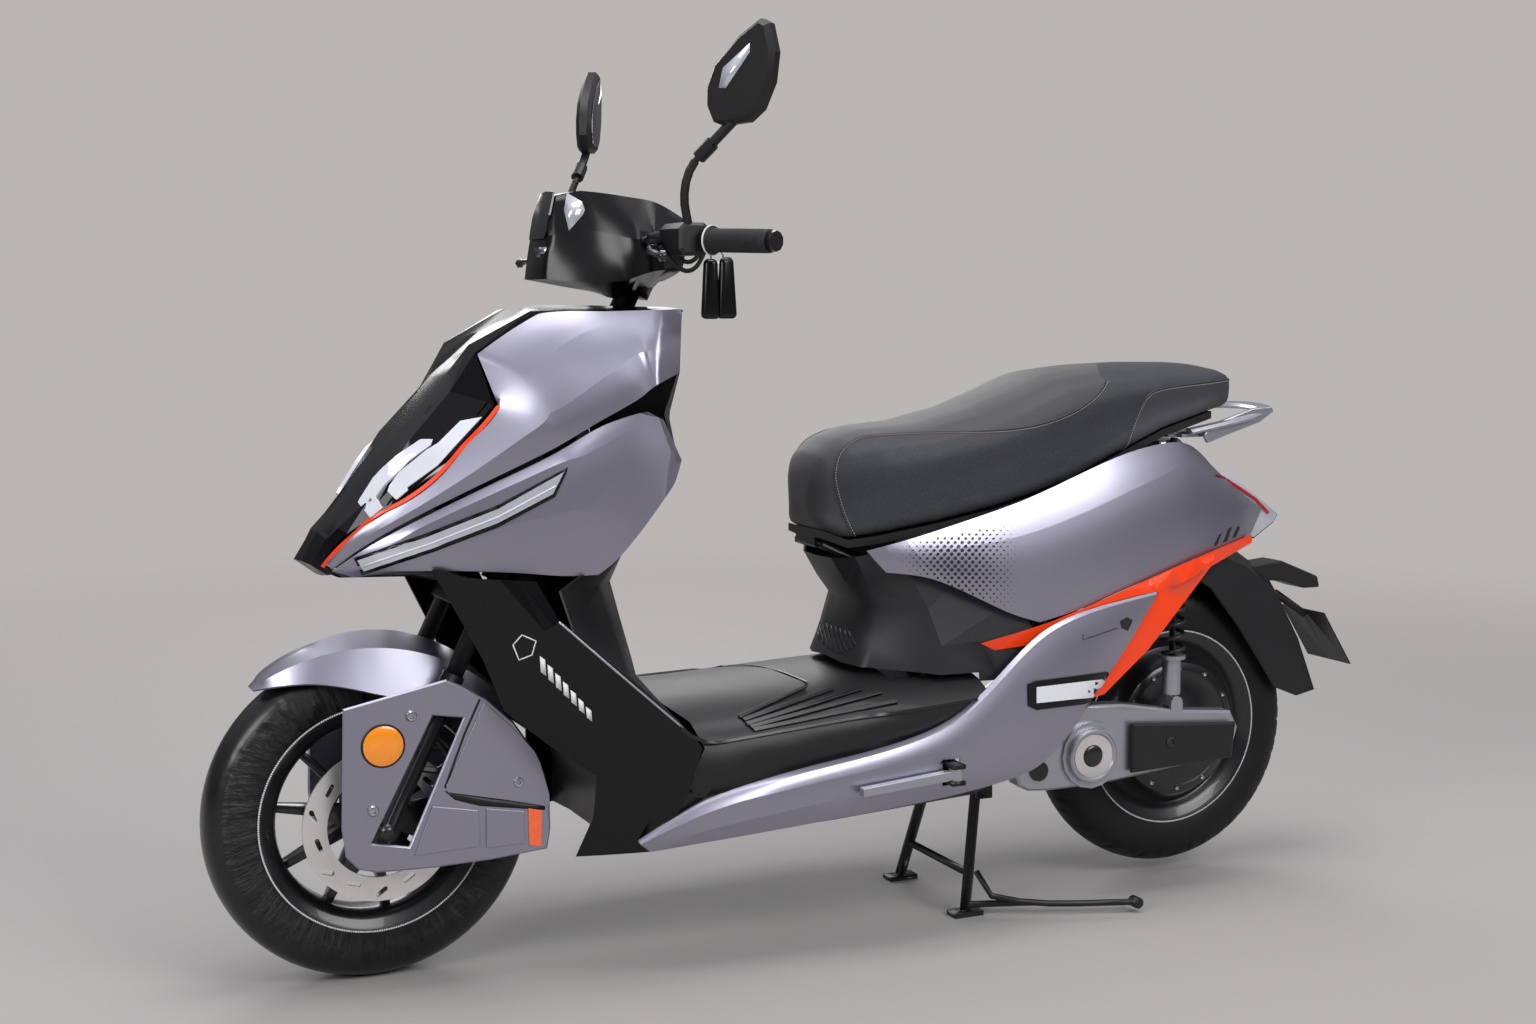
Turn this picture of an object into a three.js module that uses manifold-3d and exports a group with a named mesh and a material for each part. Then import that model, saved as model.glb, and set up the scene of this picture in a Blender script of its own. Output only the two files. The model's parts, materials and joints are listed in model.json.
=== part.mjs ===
// A seated electric scooter on its centre stand, as an assembly of separate solids.
// Millimetres. X points forward, Y to the rider's left, Z up. The ground is Z = 0.
import * as THREE from 'three';
import { mergeVertices } from 'three/addons/utils/BufferGeometryUtils.js';
import Module from 'manifold-3d';

const wasm = await Module();
wasm.setup();

// Driving sizes
const WHEELBASE = 1340;
const BODY_HALF_WIDTH = 200;
const BODY_HEIGHT = 950;
const REAR_WHEEL_LIFT = 16;
const CASTER = THREE.MathUtils.degToRad(26);
const STEERING_TRAIL_OFFSET = 35;

// Clearances and the overrun that every cut shares
const FIT = 0.3;
const SEAM = 0.6;
const RUNNING = 4;
const OVERRUN = 6;
const SKIN = 3;
const TIE = 0.001;

const TYRE = {
  radius: 233, halfWidth: 45, wall: 9, bellyDrop: 37, shoulderDrop: 13, shoulderHalfWidth: 38,
  crownHalfWidth: 15, crownDrop: 2, beadHeight: 15, beadHalfWidth: 35.2,
};
const RIM = {
  seatRadius: 150.2, flangeRadius: 163, flangeHalfWidth: 41.5, flangeWall: 5, wellDepth: 10,
  wellHalfWidth: 14, slopeHalfWidth: 27, lipDepth: 5, skin: 6,
};
const FRONT_HUB = {
  radius: 33, halfWidth: 40, bossRadius: 20, discBossEnd: 70.6, spokes: 10, spokeHalfWidth: 6,
  spokeDepth: 20, spokeTipDepth: 12, spokeRootHalfWidth: 9,
};
const DISC = {
  radius: 108, innerFace: 71, thickness: 4, ringInner: 74, carrierRadius: 44, boreRadius: 14,
  slots: 14, slotLength: 20, slotWidth: 7, slotCircle: 92, slotTilt: 0.5, windows: 5,
  slotSides: 6, boreSides: 12, windowHalfTurn: 0.5, windowSteps: 3,
};
const AXLE = { radius: 8, nutRadius: 12, washer: 2 };
const MOTOR = {
  radius: 112, coverHalfWidth: 58, coverRadius: 96, webHalfWidth: 40,
  bossRadius: 24, bossEnd: 76,
};
const FORK = {
  legSpread: 97, sliderRadius: 16.5, sliderTop: 232, sliderFoot: 24, tubeRadius: 13, tubeFoot: 106,
  boreFoot: 54, stayRadius: 5, stayHeight: 205, stayEnd: 69, footRadius: 21,
};
const YOKE = { bottom: 316, height: 24, bevel: 2, halfWidth: 116 };
const COLUMN = {
  stemRadius: 17, stemTop: 890, neckRadius: 30, neckBottom: 836, neckTop: 868, clampRadius: 15,
};
const HEAD_TUBE = { bottom: 372, top: 545, radius: 27 };
const BAR = {
  radius: 11, middleRadius: 10.4, overlap: 12, gripRadius: 16.5, gripLength: 106, gripSides: 12,
  flangeRadius: 20, flangeLength: 4, flangeTaper: 2,
  endRadius: 14, endLength: 10,
};
const SWINGARM = {
  pivotX: 318, pivotZ: 225, innerFace: 104, wall: 34, bevel: 4, pivotRadius: 10, boltRadius: 16,
  tubeRadius: 20, braceX: 262, braceZ: 214, braceRadius: 12, capX: 223, capZ: 243, capRadius: 54,
  capHeight: 6, ringWidth: 8,
};
const ARM_COVER = { thickness: 12, bevel: 3 };
const SHOCK = {
  x: 60, y: 121, topZ: 572, mountZ: 312, eyeRadius: 11, eyeHalfWidth: 10, pinRadius: 5,
  lugHalfWidth: 11, rodRadius: 5, rodFoot: 376, bodyRadius: 15, bodyTop: 388, bodyFoot: 324.5, neckRadius: 9,
  boreRadius: 9, boreFoot: 330, seatZ: 388, seatHeight: 6, capRadius: 22, capZ: 548, capHeight: 14,
  coilRadius: 18, wireRadius: 3.6, coils: 7,
};
const COIL_STEPS = 8;
const COIL_SIDES = 5;
const STAND = {
  pivotX: 393, pivotZ: 193, tubeRadius: 12, tubeHalfWidth: 93, lugWall: 12, boltRadius: 6,
  legRadius: 9, legTop: 74, footX: 430, footY: 109.5, footHalfLength: 25, footHalfWidth: 14,
  footHeight: 8, braceX: 418, braceZ: 62, braceRadius: 7, leverRadius: 5.5, toeRadius: 9,
};
const PEG = {
  pivotX: 512, pivotY: 222, pivotZ: 257, pinRadius: 4, eyeRadius: 11, eyeHalfHeight: 9,
  earWall: 6.5, length: 156, rootHalfHeight: 7, halfWidth: 7, tipDrop: 12, tipHalfHeight: 6,
};
const GUARD = { outerFace: 120, wall: 3, rim: 2.4, bevel: 2.4 };
const SEAT = {
  hingeX: 650, hingeZ: 588, baseWall: 12, baseSeam: 0.5, pinRadius: 4, eyeRadius: 7, eyeHalfWidth: 34,
  firstStation: 2, baseWidthShare: 0.88,
};
const WING_LEAN = 60;
const SIDE_LEAN = 40;
const MASK_HEART = { x: 1050, z: 720 };
const UNDER_SEAT_HEART = { x: 430, z: 500 };
const DECK_HEART = 250;
const PACK = { rearX: 562, length: 368, halfWidth: 92, height: 126, lidInset: 12, lidHeight: 12 };
const CONTROLLER = {
  rearX: 438, length: 112, halfWidth: 60, height: 44, fins: 7, finHeight: 8, finWall: 4,
};
const FRAME = {
  railY: 110, railZ: 218, tubeRadius: 13, downTubeRadius: 20, rearTubeRadius: 11, postRadius: 7,
  strapTop: 208, strapWall: 10, strapHalfWidth: 14, shockPinRoot: 82,
};
const MUDGUARD = { shoulderDrop: 0.22, shoulder: 0.74, sideWeight: 3 };
const CALIPER = {
  backX: -90, length: 68, innerY: 58, outerY: 94, foot: -8, height: 62, bridge: 12, padGap: 1.5,
  lugWidth: 14, lugInset: 12,
};
const LEVER = { halfHeight: 5.5, bladeHalfHeight: 4.4, halfDepth: 4.5, eyeRadius: 9, pinRadius: 4, ballRadius: 8 };
const POD = { innerEnd: 165, outerEnd: 245, bevel: 4, lugReach: 26, lugWall: 5 };
const MIRROR = {
  height: 137, depth: 24, bevel: 6, stemRadius: 6, pinRadius: 4.5, pinReach: 8, cupReach: 14,
  cupRadius: 10, neckRadius: 7,
};
const MIRROR_TURN = { x: 0.48, y: 0.88 };
const BUTTON = { radius: 8, reach: 6, depth: 9, travel: 4 };
const TAIL = { halfWidth: 76, bevel: 3 };
const GRAB = {
  rearX: -44, frontX: 52, halfWidth: 86, foot: 737, wall: 8, railHalfWidth: 13, railHalfHeight: 6,
  webHalfWidth: 102, webWall: 5, webFrontX: 36,
};
const LENS = { firstRow: 4, lastRow: 6, height: 4, shares: [0.12, 0.5, 0.9] };
const WHEEL_SIDES = 24;

const REAR_AXLE_Z = TYRE.radius + REAR_WHEEL_LIFT;
const FRONT_AXLE_Z = TYRE.radius;
const point = (x, y, z) => new THREE.Vector3(x, y, z);
const place = ([along, out, up]) =>
  point(along * WHEELBASE, out * BODY_HALF_WIDTH, up * BODY_HEIGHT);

// The steering's own frame: its Z runs up the steering axis, its X is square to it, forwards,
// and the front axle lies on that X.
const steeringFrame = new THREE.Matrix4()
  .makeRotationY(-CASTER)
  .setPosition(
    WHEELBASE - STEERING_TRAIL_OFFSET * Math.cos(CASTER), 0,
    FRONT_AXLE_Z - STEERING_TRAIL_OFFSET * Math.sin(CASTER),
  );
const onSteering = (x, y, z) => point(x, y, z).applyMatrix4(steeringFrame);

// A geometry with shared corners whose faces point out of the body
function closed(geometry) {
  let body = geometry.index ? geometry.clone() : geometry;
  body.deleteAttribute('normal');
  body.deleteAttribute('uv');
  body = mergeVertices(body);
  const places = body.getAttribute('position');
  const index = Array.from(body.index.array);
  const corners = [];
  for (let i = 0; i < places.count; i += 1) {
    corners.push(new THREE.Vector3().fromBufferAttribute(places, i));
  }
  const faces = [];
  let volume = 0;
  for (let i = 0; i < index.length; i += 3) {
    const [a, b, c] = index.slice(i, i + 3);
    if (a !== b && b !== c && c !== a) {
      faces.push([a, b, c]);
      volume += corners[a].dot(corners[b].clone().cross(corners[c]));
    }
  }
  body.setIndex(faces.flatMap(([a, b, c]) => (volume < 0 ? [c, b, a] : [a, b, c])));
  return body;
}

function solid(geometry) {
  const body = closed(geometry);
  return new wasm.Manifold(new wasm.Mesh({
    numProp: 3,
    vertProperties: Float32Array.from(body.getAttribute('position').array),
    triVerts: Uint32Array.from(body.index.array),
  }));
}

function geometryOf(body) {
  const mesh = body.getMesh();
  const geometry = new THREE.BufferGeometry();
  geometry.setAttribute('position', new THREE.BufferAttribute(mesh.vertProperties, 3));
  geometry.setIndex(Array.from(mesh.triVerts));
  return geometry;
}

const joined = (...parts) => geometryOf(parts.flat().map(solid).reduce((a, b) => a.add(b)));
const carved = (base, ...tools) =>
  geometryOf(tools.flat().map(solid).reduce((a, b) => a.subtract(b), solid(base)));

// The largest of the bodies that a cut leaves
function largest(geometry) {
  const body = closed(geometry);
  const index = Array.from(body.index.array);
  const owner = Array.from({ length: body.getAttribute('position').count }, (_, i) => i);
  const root = (i) => {
    let at = i;
    while (owner[at] !== at) at = owner[at];
    owner[i] = at;
    return at;
  };
  for (let i = 0; i < index.length; i += 3) {
    const [a, b, c] = index.slice(i, i + 3).map(root);
    owner[a] = c;
    owner[b] = c;
  }
  const sizes = new Map();
  for (const corner of index) sizes.set(root(corner), (sizes.get(root(corner)) ?? 0) + 1);
  const most = Math.max(...sizes.values());
  body.setIndex(index.filter((corner) => sizes.get(root(corner)) === most));
  return geometryOf(solid(body));
}

function moved(geometry, matrix) {
  const copy = geometry.clone();
  copy.applyMatrix4(matrix);
  return closed(copy);
}
const mirrored = (geometry) => moved(geometry, new THREE.Matrix4().makeScale(1, -1, 1));
const both = (geometry) => [geometry, mirrored(geometry)];
const shifted = (geometry, x, y, z) =>
  moved(geometry, new THREE.Matrix4().makeTranslation(x, y, z));
const steered = (geometry) => moved(geometry, steeringFrame);

function block(low, high) {
  const size = high.clone().sub(low);
  const middle = low.clone().add(high).multiplyScalar(1 / 2);
  return shifted(new THREE.BoxGeometry(size.x, size.y, size.z), middle.x, middle.y, middle.z);
}

// A straight round bar from one point to another, or a cone where the end radius differs
function bar(from, to, radius, sides = 12, endRadius = radius) {
  const run = to.clone().sub(from);
  const matrix = alongLine(from.clone().add(to).multiplyScalar(1 / 2), run.clone().normalize());
  return moved(new THREE.CylinderGeometry(endRadius, radius, run.length(), sides), matrix);
}

// A bent bar of oval section through the points
function ovalTube(points, halfWidth, halfDepth, { sides = 6, steps = 3 * points.length } = {}) {
  const section = new THREE.Shape();
  section.absellipse(0, 0, halfWidth, halfDepth, 0, 2 * Math.PI);
  return closed(new THREE.ExtrudeGeometry(section, {
    extrudePath: new THREE.CatmullRomCurve3(points, false, 'centripetal'),
    steps, curveSegments: sides / 2,
  }));
}

const tube = (points, radius, options) => ovalTube(points, radius, radius, options);

// A turned ring or disc about Y from its closed half section of [radius, y] corners, where the
// radii are those of the middles of its flats
function turned(corners, sides) {
  const widening = 1 / Math.cos(Math.PI / sides);
  const profile = [...corners, corners[0]].map(([r, y]) => new THREE.Vector2(r * widening, y));
  return closed(new THREE.LatheGeometry(profile, sides, Math.PI / sides));
}

// The matrix that takes the Y axis to a line from a point
const alongLine = (from, direction) => new THREE.Matrix4().compose(
  from, new THREE.Quaternion().setFromUnitVectors(point(0, 1, 0), direction), point(1, 1, 1),
);

// A plate drawn in side view, between two Y places, with its rim rounded by a bevel
function sidePlate(shape, fromY, toY, bevel = 0, { inset = 0, curveSegments = 6 } = {}) {
  const geometry = new THREE.ExtrudeGeometry(shape, {
    depth: toY - fromY - 2 * bevel, bevelSize: bevel, bevelThickness: bevel,
    bevelOffset: -bevel - inset, bevelSegments: bevel > 0 ? 1 : 0, curveSegments,
  });
  geometry.applyMatrix4(new THREE.Matrix4().makeRotationX(Math.PI / 2));
  return shifted(closed(geometry), 0, toY - bevel, 0);
}
const outline = (corners) => new THREE.Shape(corners.map(([x, z]) => new THREE.Vector2(x, z)));

// A smooth line through the points, broken at the sharp ones
function smoothLine(points, sharp, steps) {
  const line = [points[0].clone()];
  let start = 0;
  for (const end of [...sharp, points.length - 1]) {
    const curve = new THREE.CatmullRomCurve3(points.slice(start, end + 1), false, 'centripetal');
    const count = (end - start) * steps;
    for (let i = 1; i <= count; i += 1) line.push(curve.getPoint(i / count));
    start = end;
  }
  return line;
}
const flipped = (grid) => grid[0].map((_, column) => grid.map((row) => row[column]));

// A smooth grid through rows of points; steps are the divisions between rows and between columns
function smoothGrid(rows, { steps: [rowSteps, columnSteps], sharpRows = [], sharpColumns = [] }) {
  const along = rows.map((row) => smoothLine(row, sharpColumns, columnSteps));
  return flipped(flipped(along).map((line) => smoothLine(line, sharpRows, rowSteps)));
}

const surface = (shares, options) => smoothGrid(shares.map((row) => row.map(place)), options);

// A grid drawn from one side to the middle, carried on to the other side
const acrossMiddle = (rows) => rows.map((row) => [
  ...row, ...row.slice(0, -1).reverse().map(([along, out, up]) => [along, -out, up]),
]);

// The closed body between two grids of the same size
function between(outer, inner) {
  const rows = outer.length;
  const columns = outer[0].length;
  const corners = [...outer.flat(), ...inner.flat()];
  const at = (side, row, column) => side * rows * columns + row * columns + column;
  const faces = [];
  const quad = (a, b, c, d) => faces.push(a, b, c, a, c, d);
  for (let r = 0; r + 1 < rows; r += 1) {
    for (let c = 0; c + 1 < columns; c += 1) {
      const cell = [[r, c], [r, c + 1], [r + 1, c + 1], [r + 1, c]];
      const [p, q, s, t] = cell.map(([i, j]) => outer[i][j]);
      if (q.distanceTo(t) < p.distanceTo(s) - TIE) cell.push(cell.shift());
      quad(...cell.map(([i, j]) => at(0, i, j)));
      quad(...cell.map(([i, j]) => at(1, i, j)).reverse());
    }
    quad(at(0, r, 0), at(0, r + 1, 0), at(1, r + 1, 0), at(1, r, 0));
    quad(at(0, r + 1, columns - 1), at(0, r, columns - 1), at(1, r, columns - 1), at(1, r + 1, columns - 1));
  }
  for (let c = 0; c + 1 < columns; c += 1) {
    quad(at(0, 0, c + 1), at(0, 0, c), at(1, 0, c), at(1, 0, c + 1));
    quad(at(0, rows - 1, c), at(0, rows - 1, c + 1), at(1, rows - 1, c + 1), at(1, rows - 1, c));
  }
  const geometry = new THREE.BufferGeometry();
  geometry.setAttribute('position', new THREE.Float32BufferAttribute(corners.flatMap((p) => p.toArray()), 3));
  geometry.setIndex(faces);
  return closed(geometry);
}

// The grid with its border pushed out by a small distance
function grown(grid, by) {
  const pushLine = (line) => line.map((p, i) => {
    if (i > 0 && i < line.length - 1) return p.clone();
    const next = line[i === 0 ? 1 : i - 1];
    return p.clone().add(p.clone().sub(next).setLength(by));
  });
  return flipped(flipped(grid.map(pushLine)).map(pushLine));
}

// A solid through closed sections with equal corner counts
function lofted(sections) {
  const count = sections[0].length;
  const faces = [];
  sections.slice(1).forEach((_, s) => {
    for (let i = 0; i < count; i += 1) {
      const j = (i + 1) % count;
      const [a, b, c, d] = [s * count + i, s * count + j, (s + 1) * count + j, (s + 1) * count + i];
      faces.push(a, b, c, a, c, d);
    }
  });
  const last = (sections.length - 1) * count;
  for (let i = 1; i + 1 < count; i += 1) {
    faces.push(0, i + 1, i, last, last + i, last + i + 1);
  }
  const geometry = new THREE.BufferGeometry();
  geometry.setAttribute('position', new THREE.Float32BufferAttribute(sections.flat().flatMap((p) => p.toArray()), 3));
  geometry.setIndex(faces);
  return closed(geometry);
}

// The inward vector of a panel's wall at a point of its face
const leaning = ({ back = 0, side = 1, down = 0 }) => (p) =>
  point(-back, -side * p.y, -down).setLength(SKIN);
const towards = (x, z, side = 1) => (p) => point(x - p.x, -side * p.y, z - p.z).setLength(SKIN);
const pushed = (grid, wall, share) =>
  grid.map((row) => row.map((p) => p.clone().addScaledVector(wall(p), share)));
const panel = (grid, wall) => between(grid, pushed(grid, wall, 1));
// The room that a panel needs: from outside its face to a clearance inside its wall
function roomFor(grid, wall, clearance = SEAM) {
  const wide = grown(grid, clearance);
  return between(
    pushed(wide, wall, -2 * OVERRUN / SKIN), pushed(wide, wall, (SKIN + clearance) / SKIN),
  );
}
// The same room without the space outside, for what reaches the panel from both sides
function snugRoomFor(grid, wall, clearance = FIT) {
  const wide = grown(grid, clearance);
  return between(
    pushed(wide, wall, -clearance / SKIN), pushed(wide, wall, (SKIN + clearance) / SKIN),
  );
}
const bore = (from, to, radius, sides = 12) =>
  bar(from, to, radius / Math.cos(Math.PI / sides), sides);
const sideways = (x, z, fromY, toY, radius, sides) =>
  bar(point(x, fromY, z), point(x, toY, z), radius, sides);

// Body panels: faces drawn as rows of points, as shares of wheelbase, half width and height
const upperWingShares = [
  [[1.046, 0.250, 0.633], [1.025, 0.400, 0.674], [0.983, 0.520, 0.714], [0.921, 0.580, 0.784], [0.874, 0.530, 0.855], [0.892, 0.440, 0.930], [0.824, 0.420, 0.989], [0.769, 0.600, 0.991], [0.713, 0.830, 0.994], [0.688, 0.800, 0.995]],
  [[1.046, 0.265, 0.631], [1.023, 0.420, 0.671], [0.980, 0.540, 0.711], [0.917, 0.605, 0.778], [0.870, 0.565, 0.850], [0.847, 0.620, 0.899], [0.807, 0.630, 0.953], [0.768, 0.640, 0.980], [0.715, 0.860, 0.982], [0.689, 0.815, 0.982]],
  [[1.045, 0.280, 0.628], [1.018, 0.440, 0.666], [0.973, 0.570, 0.705], [0.905, 0.670, 0.765], [0.850, 0.730, 0.819], [0.802, 0.810, 0.860], [0.759, 0.900, 0.910], [0.741, 0.930, 0.933], [0.723, 0.960, 0.936], [0.693, 0.870, 0.943]],
  [[1.042, 0.280, 0.623], [1.013, 0.435, 0.658], [0.964, 0.560, 0.700], [0.888, 0.665, 0.752], [0.824, 0.750, 0.795], [0.781, 0.850, 0.834], [0.743, 0.950, 0.866], [0.734, 0.990, 0.879], [0.727, 1.005, 0.886], [0.697, 0.900, 0.902]],
];
const lowerWingShares = [
  [[1.041, 0.270, 0.620], [1.011, 0.430, 0.655], [0.961, 0.555, 0.695], [0.886, 0.660, 0.746], [0.821, 0.745, 0.789], [0.779, 0.845, 0.827], [0.742, 0.930, 0.845], [0.731, 0.900, 0.846]],
  [[1.037, 0.290, 0.619], [1.004, 0.470, 0.651], [0.953, 0.610, 0.690], [0.876, 0.730, 0.740], [0.808, 0.830, 0.784], [0.758, 0.920, 0.824], [0.723, 0.970, 0.838], [0.715, 0.920, 0.834]],
  [[1.029, 0.300, 0.616], [0.999, 0.490, 0.636], [0.942, 0.640, 0.660], [0.866, 0.770, 0.694], [0.795, 0.890, 0.721], [0.747, 0.980, 0.775], [0.713, 1.010, 0.791], [0.697, 0.950, 0.775]],
  [[1.021, 0.270, 0.610], [0.990, 0.460, 0.620], [0.930, 0.620, 0.621], [0.855, 0.750, 0.615], [0.785, 0.860, 0.610], [0.751, 0.970, 0.661], [0.720, 1.018, 0.721], [0.704, 0.957, 0.743]],
];
const maskShares = [
  [[0.681, 0.730, 0.993], [0.672, 0.480, 0.995], [0.666, 0.250, 0.997], [0.665, 0.000, 0.997]],
  [[0.754, 0.550, 0.988], [0.754, 0.400, 0.994], [0.754, 0.190, 0.999], [0.754, 0.000, 1.000]],
  [[0.834, 0.410, 0.992], [0.831, 0.300, 0.995], [0.812, 0.170, 0.997], [0.807, 0.000, 1.000]],
  [[0.894, 0.430, 0.933], [0.897, 0.330, 0.943], [0.866, 0.170, 0.960], [0.858, 0.000, 0.966]],
  [[0.879, 0.520, 0.857], [0.921, 0.420, 0.876], [0.919, 0.200, 0.895], [0.925, 0.000, 0.895]],
  [[0.926, 0.570, 0.786], [0.965, 0.460, 0.809], [0.963, 0.200, 0.819], [0.972, 0.000, 0.816]],
  [[0.987, 0.510, 0.717], [1.007, 0.420, 0.724], [1.004, 0.190, 0.749], [1.013, 0.000, 0.745]],
  [[1.029, 0.390, 0.676], [1.035, 0.310, 0.683], [1.028, 0.150, 0.703], [1.039, 0.000, 0.699]],
  [[1.040, 0.290, 0.655], [1.045, 0.220, 0.665], [1.051, 0.110, 0.674], [1.054, 0.000, 0.674]],
  [[1.049, 0.230, 0.629], [1.060, 0.170, 0.628], [1.067, 0.080, 0.632], [1.072, 0.000, 0.633]],
  [[1.036, 0.220, 0.614], [1.042, 0.160, 0.611], [1.046, 0.080, 0.609], [1.049, 0.000, 0.609]],
];
const legCoverShares = [
  [[0.952, 0.600, 0.629], [0.918, 0.700, 0.612], [0.887, 0.800, 0.609], [0.851, 0.850, 0.605]],
  [[0.902, 0.700, 0.491], [0.868, 0.825, 0.521], [0.845, 0.900, 0.533], [0.830, 0.930, 0.547]],
  [[0.882, 0.750, 0.414], [0.829, 0.880, 0.431], [0.788, 0.950, 0.470], [0.760, 0.980, 0.461]],
  [[0.838, 0.800, 0.362], [0.798, 0.910, 0.366], [0.746, 0.970, 0.395], [0.699, 0.990, 0.381]],
  [[0.788, 0.850, 0.311], [0.745, 0.940, 0.326], [0.702, 0.980, 0.345], [0.677, 0.990, 0.345]],
  [[0.790, 0.810, 0.248], [0.755, 0.880, 0.257], [0.721, 0.930, 0.267], [0.691, 0.955, 0.276]],
  [[0.807, 0.750, 0.187], [0.780, 0.790, 0.187], [0.752, 0.840, 0.188], [0.722, 0.880, 0.189]],
];
const legShieldShares = [
  [[0.685, 0.760, 0.994], [0.676, 0.520, 0.994], [0.670, 0.260, 0.994], [0.669, 0.000, 0.994]],
  [[0.693, 0.850, 0.902], [0.682, 0.550, 0.902], [0.676, 0.260, 0.902], [0.675, 0.000, 0.902]],
  [[0.710, 0.880, 0.842], [0.688, 0.570, 0.842], [0.681, 0.270, 0.842], [0.679, 0.000, 0.842]],
  [[0.696, 0.910, 0.768], [0.693, 0.580, 0.768], [0.688, 0.270, 0.768], [0.687, 0.000, 0.768]],
  [[0.749, 0.910, 0.661], [0.734, 0.590, 0.661], [0.719, 0.280, 0.661], [0.715, 0.000, 0.661]],
  [[0.825, 0.850, 0.589], [0.770, 0.590, 0.585], [0.742, 0.280, 0.582], [0.735, 0.000, 0.581]],
  [[0.813, 0.920, 0.526], [0.755, 0.580, 0.522], [0.730, 0.280, 0.520], [0.724, 0.000, 0.519]],
  [[0.757, 0.955, 0.461], [0.737, 0.560, 0.463], [0.718, 0.270, 0.464], [0.713, 0.000, 0.465]],
  [[0.700, 0.965, 0.385], [0.721, 0.560, 0.408], [0.709, 0.270, 0.415], [0.704, 0.000, 0.417]],
];
const bellyShares = [
  [[1.031, 0.180, 0.607], [0.963, 0.380, 0.609], [0.907, 0.530, 0.596], [0.858, 0.610, 0.565], [0.828, 0.640, 0.521], [0.804, 0.670, 0.447], [0.776, 0.700, 0.353], [0.761, 0.730, 0.263], [0.763, 0.740, 0.194], [0.739, 0.800, 0.187], [0.515, 0.880, 0.206], [0.317, 0.880, 0.234]],
  [[1.033, 0.090, 0.607], [0.963, 0.190, 0.614], [0.906, 0.300, 0.599], [0.859, 0.330, 0.568], [0.828, 0.350, 0.522], [0.803, 0.360, 0.447], [0.773, 0.400, 0.353], [0.758, 0.430, 0.263], [0.755, 0.450, 0.192], [0.735, 0.500, 0.181], [0.515, 0.600, 0.189], [0.317, 0.620, 0.206]],
  [[1.034, 0.000, 0.607], [0.963, 0.000, 0.615], [0.905, 0.000, 0.600], [0.860, 0.000, 0.569], [0.828, 0.000, 0.523], [0.803, 0.000, 0.447], [0.772, 0.000, 0.353], [0.757, 0.000, 0.263], [0.754, 0.000, 0.191], [0.734, 0.000, 0.179], [0.515, 0.000, 0.187], [0.317, 0.000, 0.203]],
];
const deckShares = [
  [[0.719, 0.860, 0.194], [0.694, 0.940, 0.276], [0.673, 0.965, 0.343], [0.678, 0.760, 0.375], [0.699, 0.460, 0.400], [0.701, 0.000, 0.406]],
  [[0.675, 0.905, 0.238], [0.657, 0.940, 0.291], [0.642, 0.965, 0.347], [0.642, 0.760, 0.377], [0.642, 0.460, 0.401], [0.642, 0.000, 0.407]],
  [[0.582, 0.920, 0.272], [0.576, 0.950, 0.312], [0.570, 0.970, 0.356], [0.570, 0.760, 0.383], [0.570, 0.460, 0.405], [0.570, 0.000, 0.412]],
  [[0.493, 0.925, 0.295], [0.490, 0.955, 0.333], [0.487, 0.970, 0.366], [0.487, 0.760, 0.392], [0.487, 0.460, 0.411], [0.487, 0.000, 0.417]],
  [[0.403, 0.930, 0.318], [0.403, 0.955, 0.352], [0.403, 0.970, 0.377], [0.403, 0.760, 0.400], [0.403, 0.460, 0.416], [0.403, 0.000, 0.421]],
  [[0.337, 0.930, 0.347], [0.331, 0.940, 0.371], [0.325, 0.950, 0.385], [0.325, 0.760, 0.404], [0.325, 0.460, 0.418], [0.325, 0.000, 0.422]],
];
const underSeatShares = [
  [[0.351, 0.560, 0.625], [0.418, 0.560, 0.613], [0.460, 0.460, 0.602], [0.475, 0.250, 0.597], [0.478, 0.000, 0.596]],
  [[0.321, 0.670, 0.589], [0.403, 0.620, 0.574], [0.445, 0.470, 0.560], [0.457, 0.260, 0.556], [0.460, 0.000, 0.555]],
  [[0.276, 0.740, 0.528], [0.382, 0.660, 0.518], [0.427, 0.470, 0.520], [0.439, 0.260, 0.522], [0.442, 0.000, 0.522]],
  [[0.254, 0.780, 0.476], [0.370, 0.730, 0.459], [0.439, 0.475, 0.463], [0.451, 0.265, 0.465], [0.454, 0.000, 0.465]],
  [[0.299, 0.800, 0.400], [0.373, 0.750, 0.400], [0.455, 0.470, 0.412], [0.467, 0.265, 0.414], [0.470, 0.000, 0.414]],
];
const sidePanelShares = [
  [[0.457, 0.620, 0.616], [0.413, 0.670, 0.630], [0.339, 0.700, 0.657], [0.262, 0.715, 0.687], [0.188, 0.705, 0.725], [0.131, 0.675, 0.752], [0.074, 0.610, 0.767], [0.016, 0.520, 0.766], [-0.037, 0.420, 0.709]],
  [[0.450, 0.630, 0.604], [0.405, 0.710, 0.613], [0.332, 0.770, 0.620], [0.256, 0.800, 0.640], [0.176, 0.800, 0.675], [0.114, 0.760, 0.704], [0.052, 0.680, 0.728], [0.004, 0.580, 0.727], [-0.066, 0.430, 0.680]],
  [[0.442, 0.640, 0.591], [0.392, 0.730, 0.590], [0.321, 0.800, 0.572], [0.250, 0.840, 0.567], [0.161, 0.840, 0.598], [0.093, 0.800, 0.632], [0.023, 0.710, 0.660], [-0.031, 0.590, 0.664], [-0.106, 0.400, 0.644]],
  [[0.434, 0.640, 0.580], [0.383, 0.730, 0.570], [0.316, 0.790, 0.526], [0.251, 0.830, 0.490], [0.145, 0.820, 0.530], [0.062, 0.750, 0.560], [-0.007, 0.660, 0.583], [-0.054, 0.540, 0.594], [-0.089, 0.400, 0.597]],
];
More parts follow.
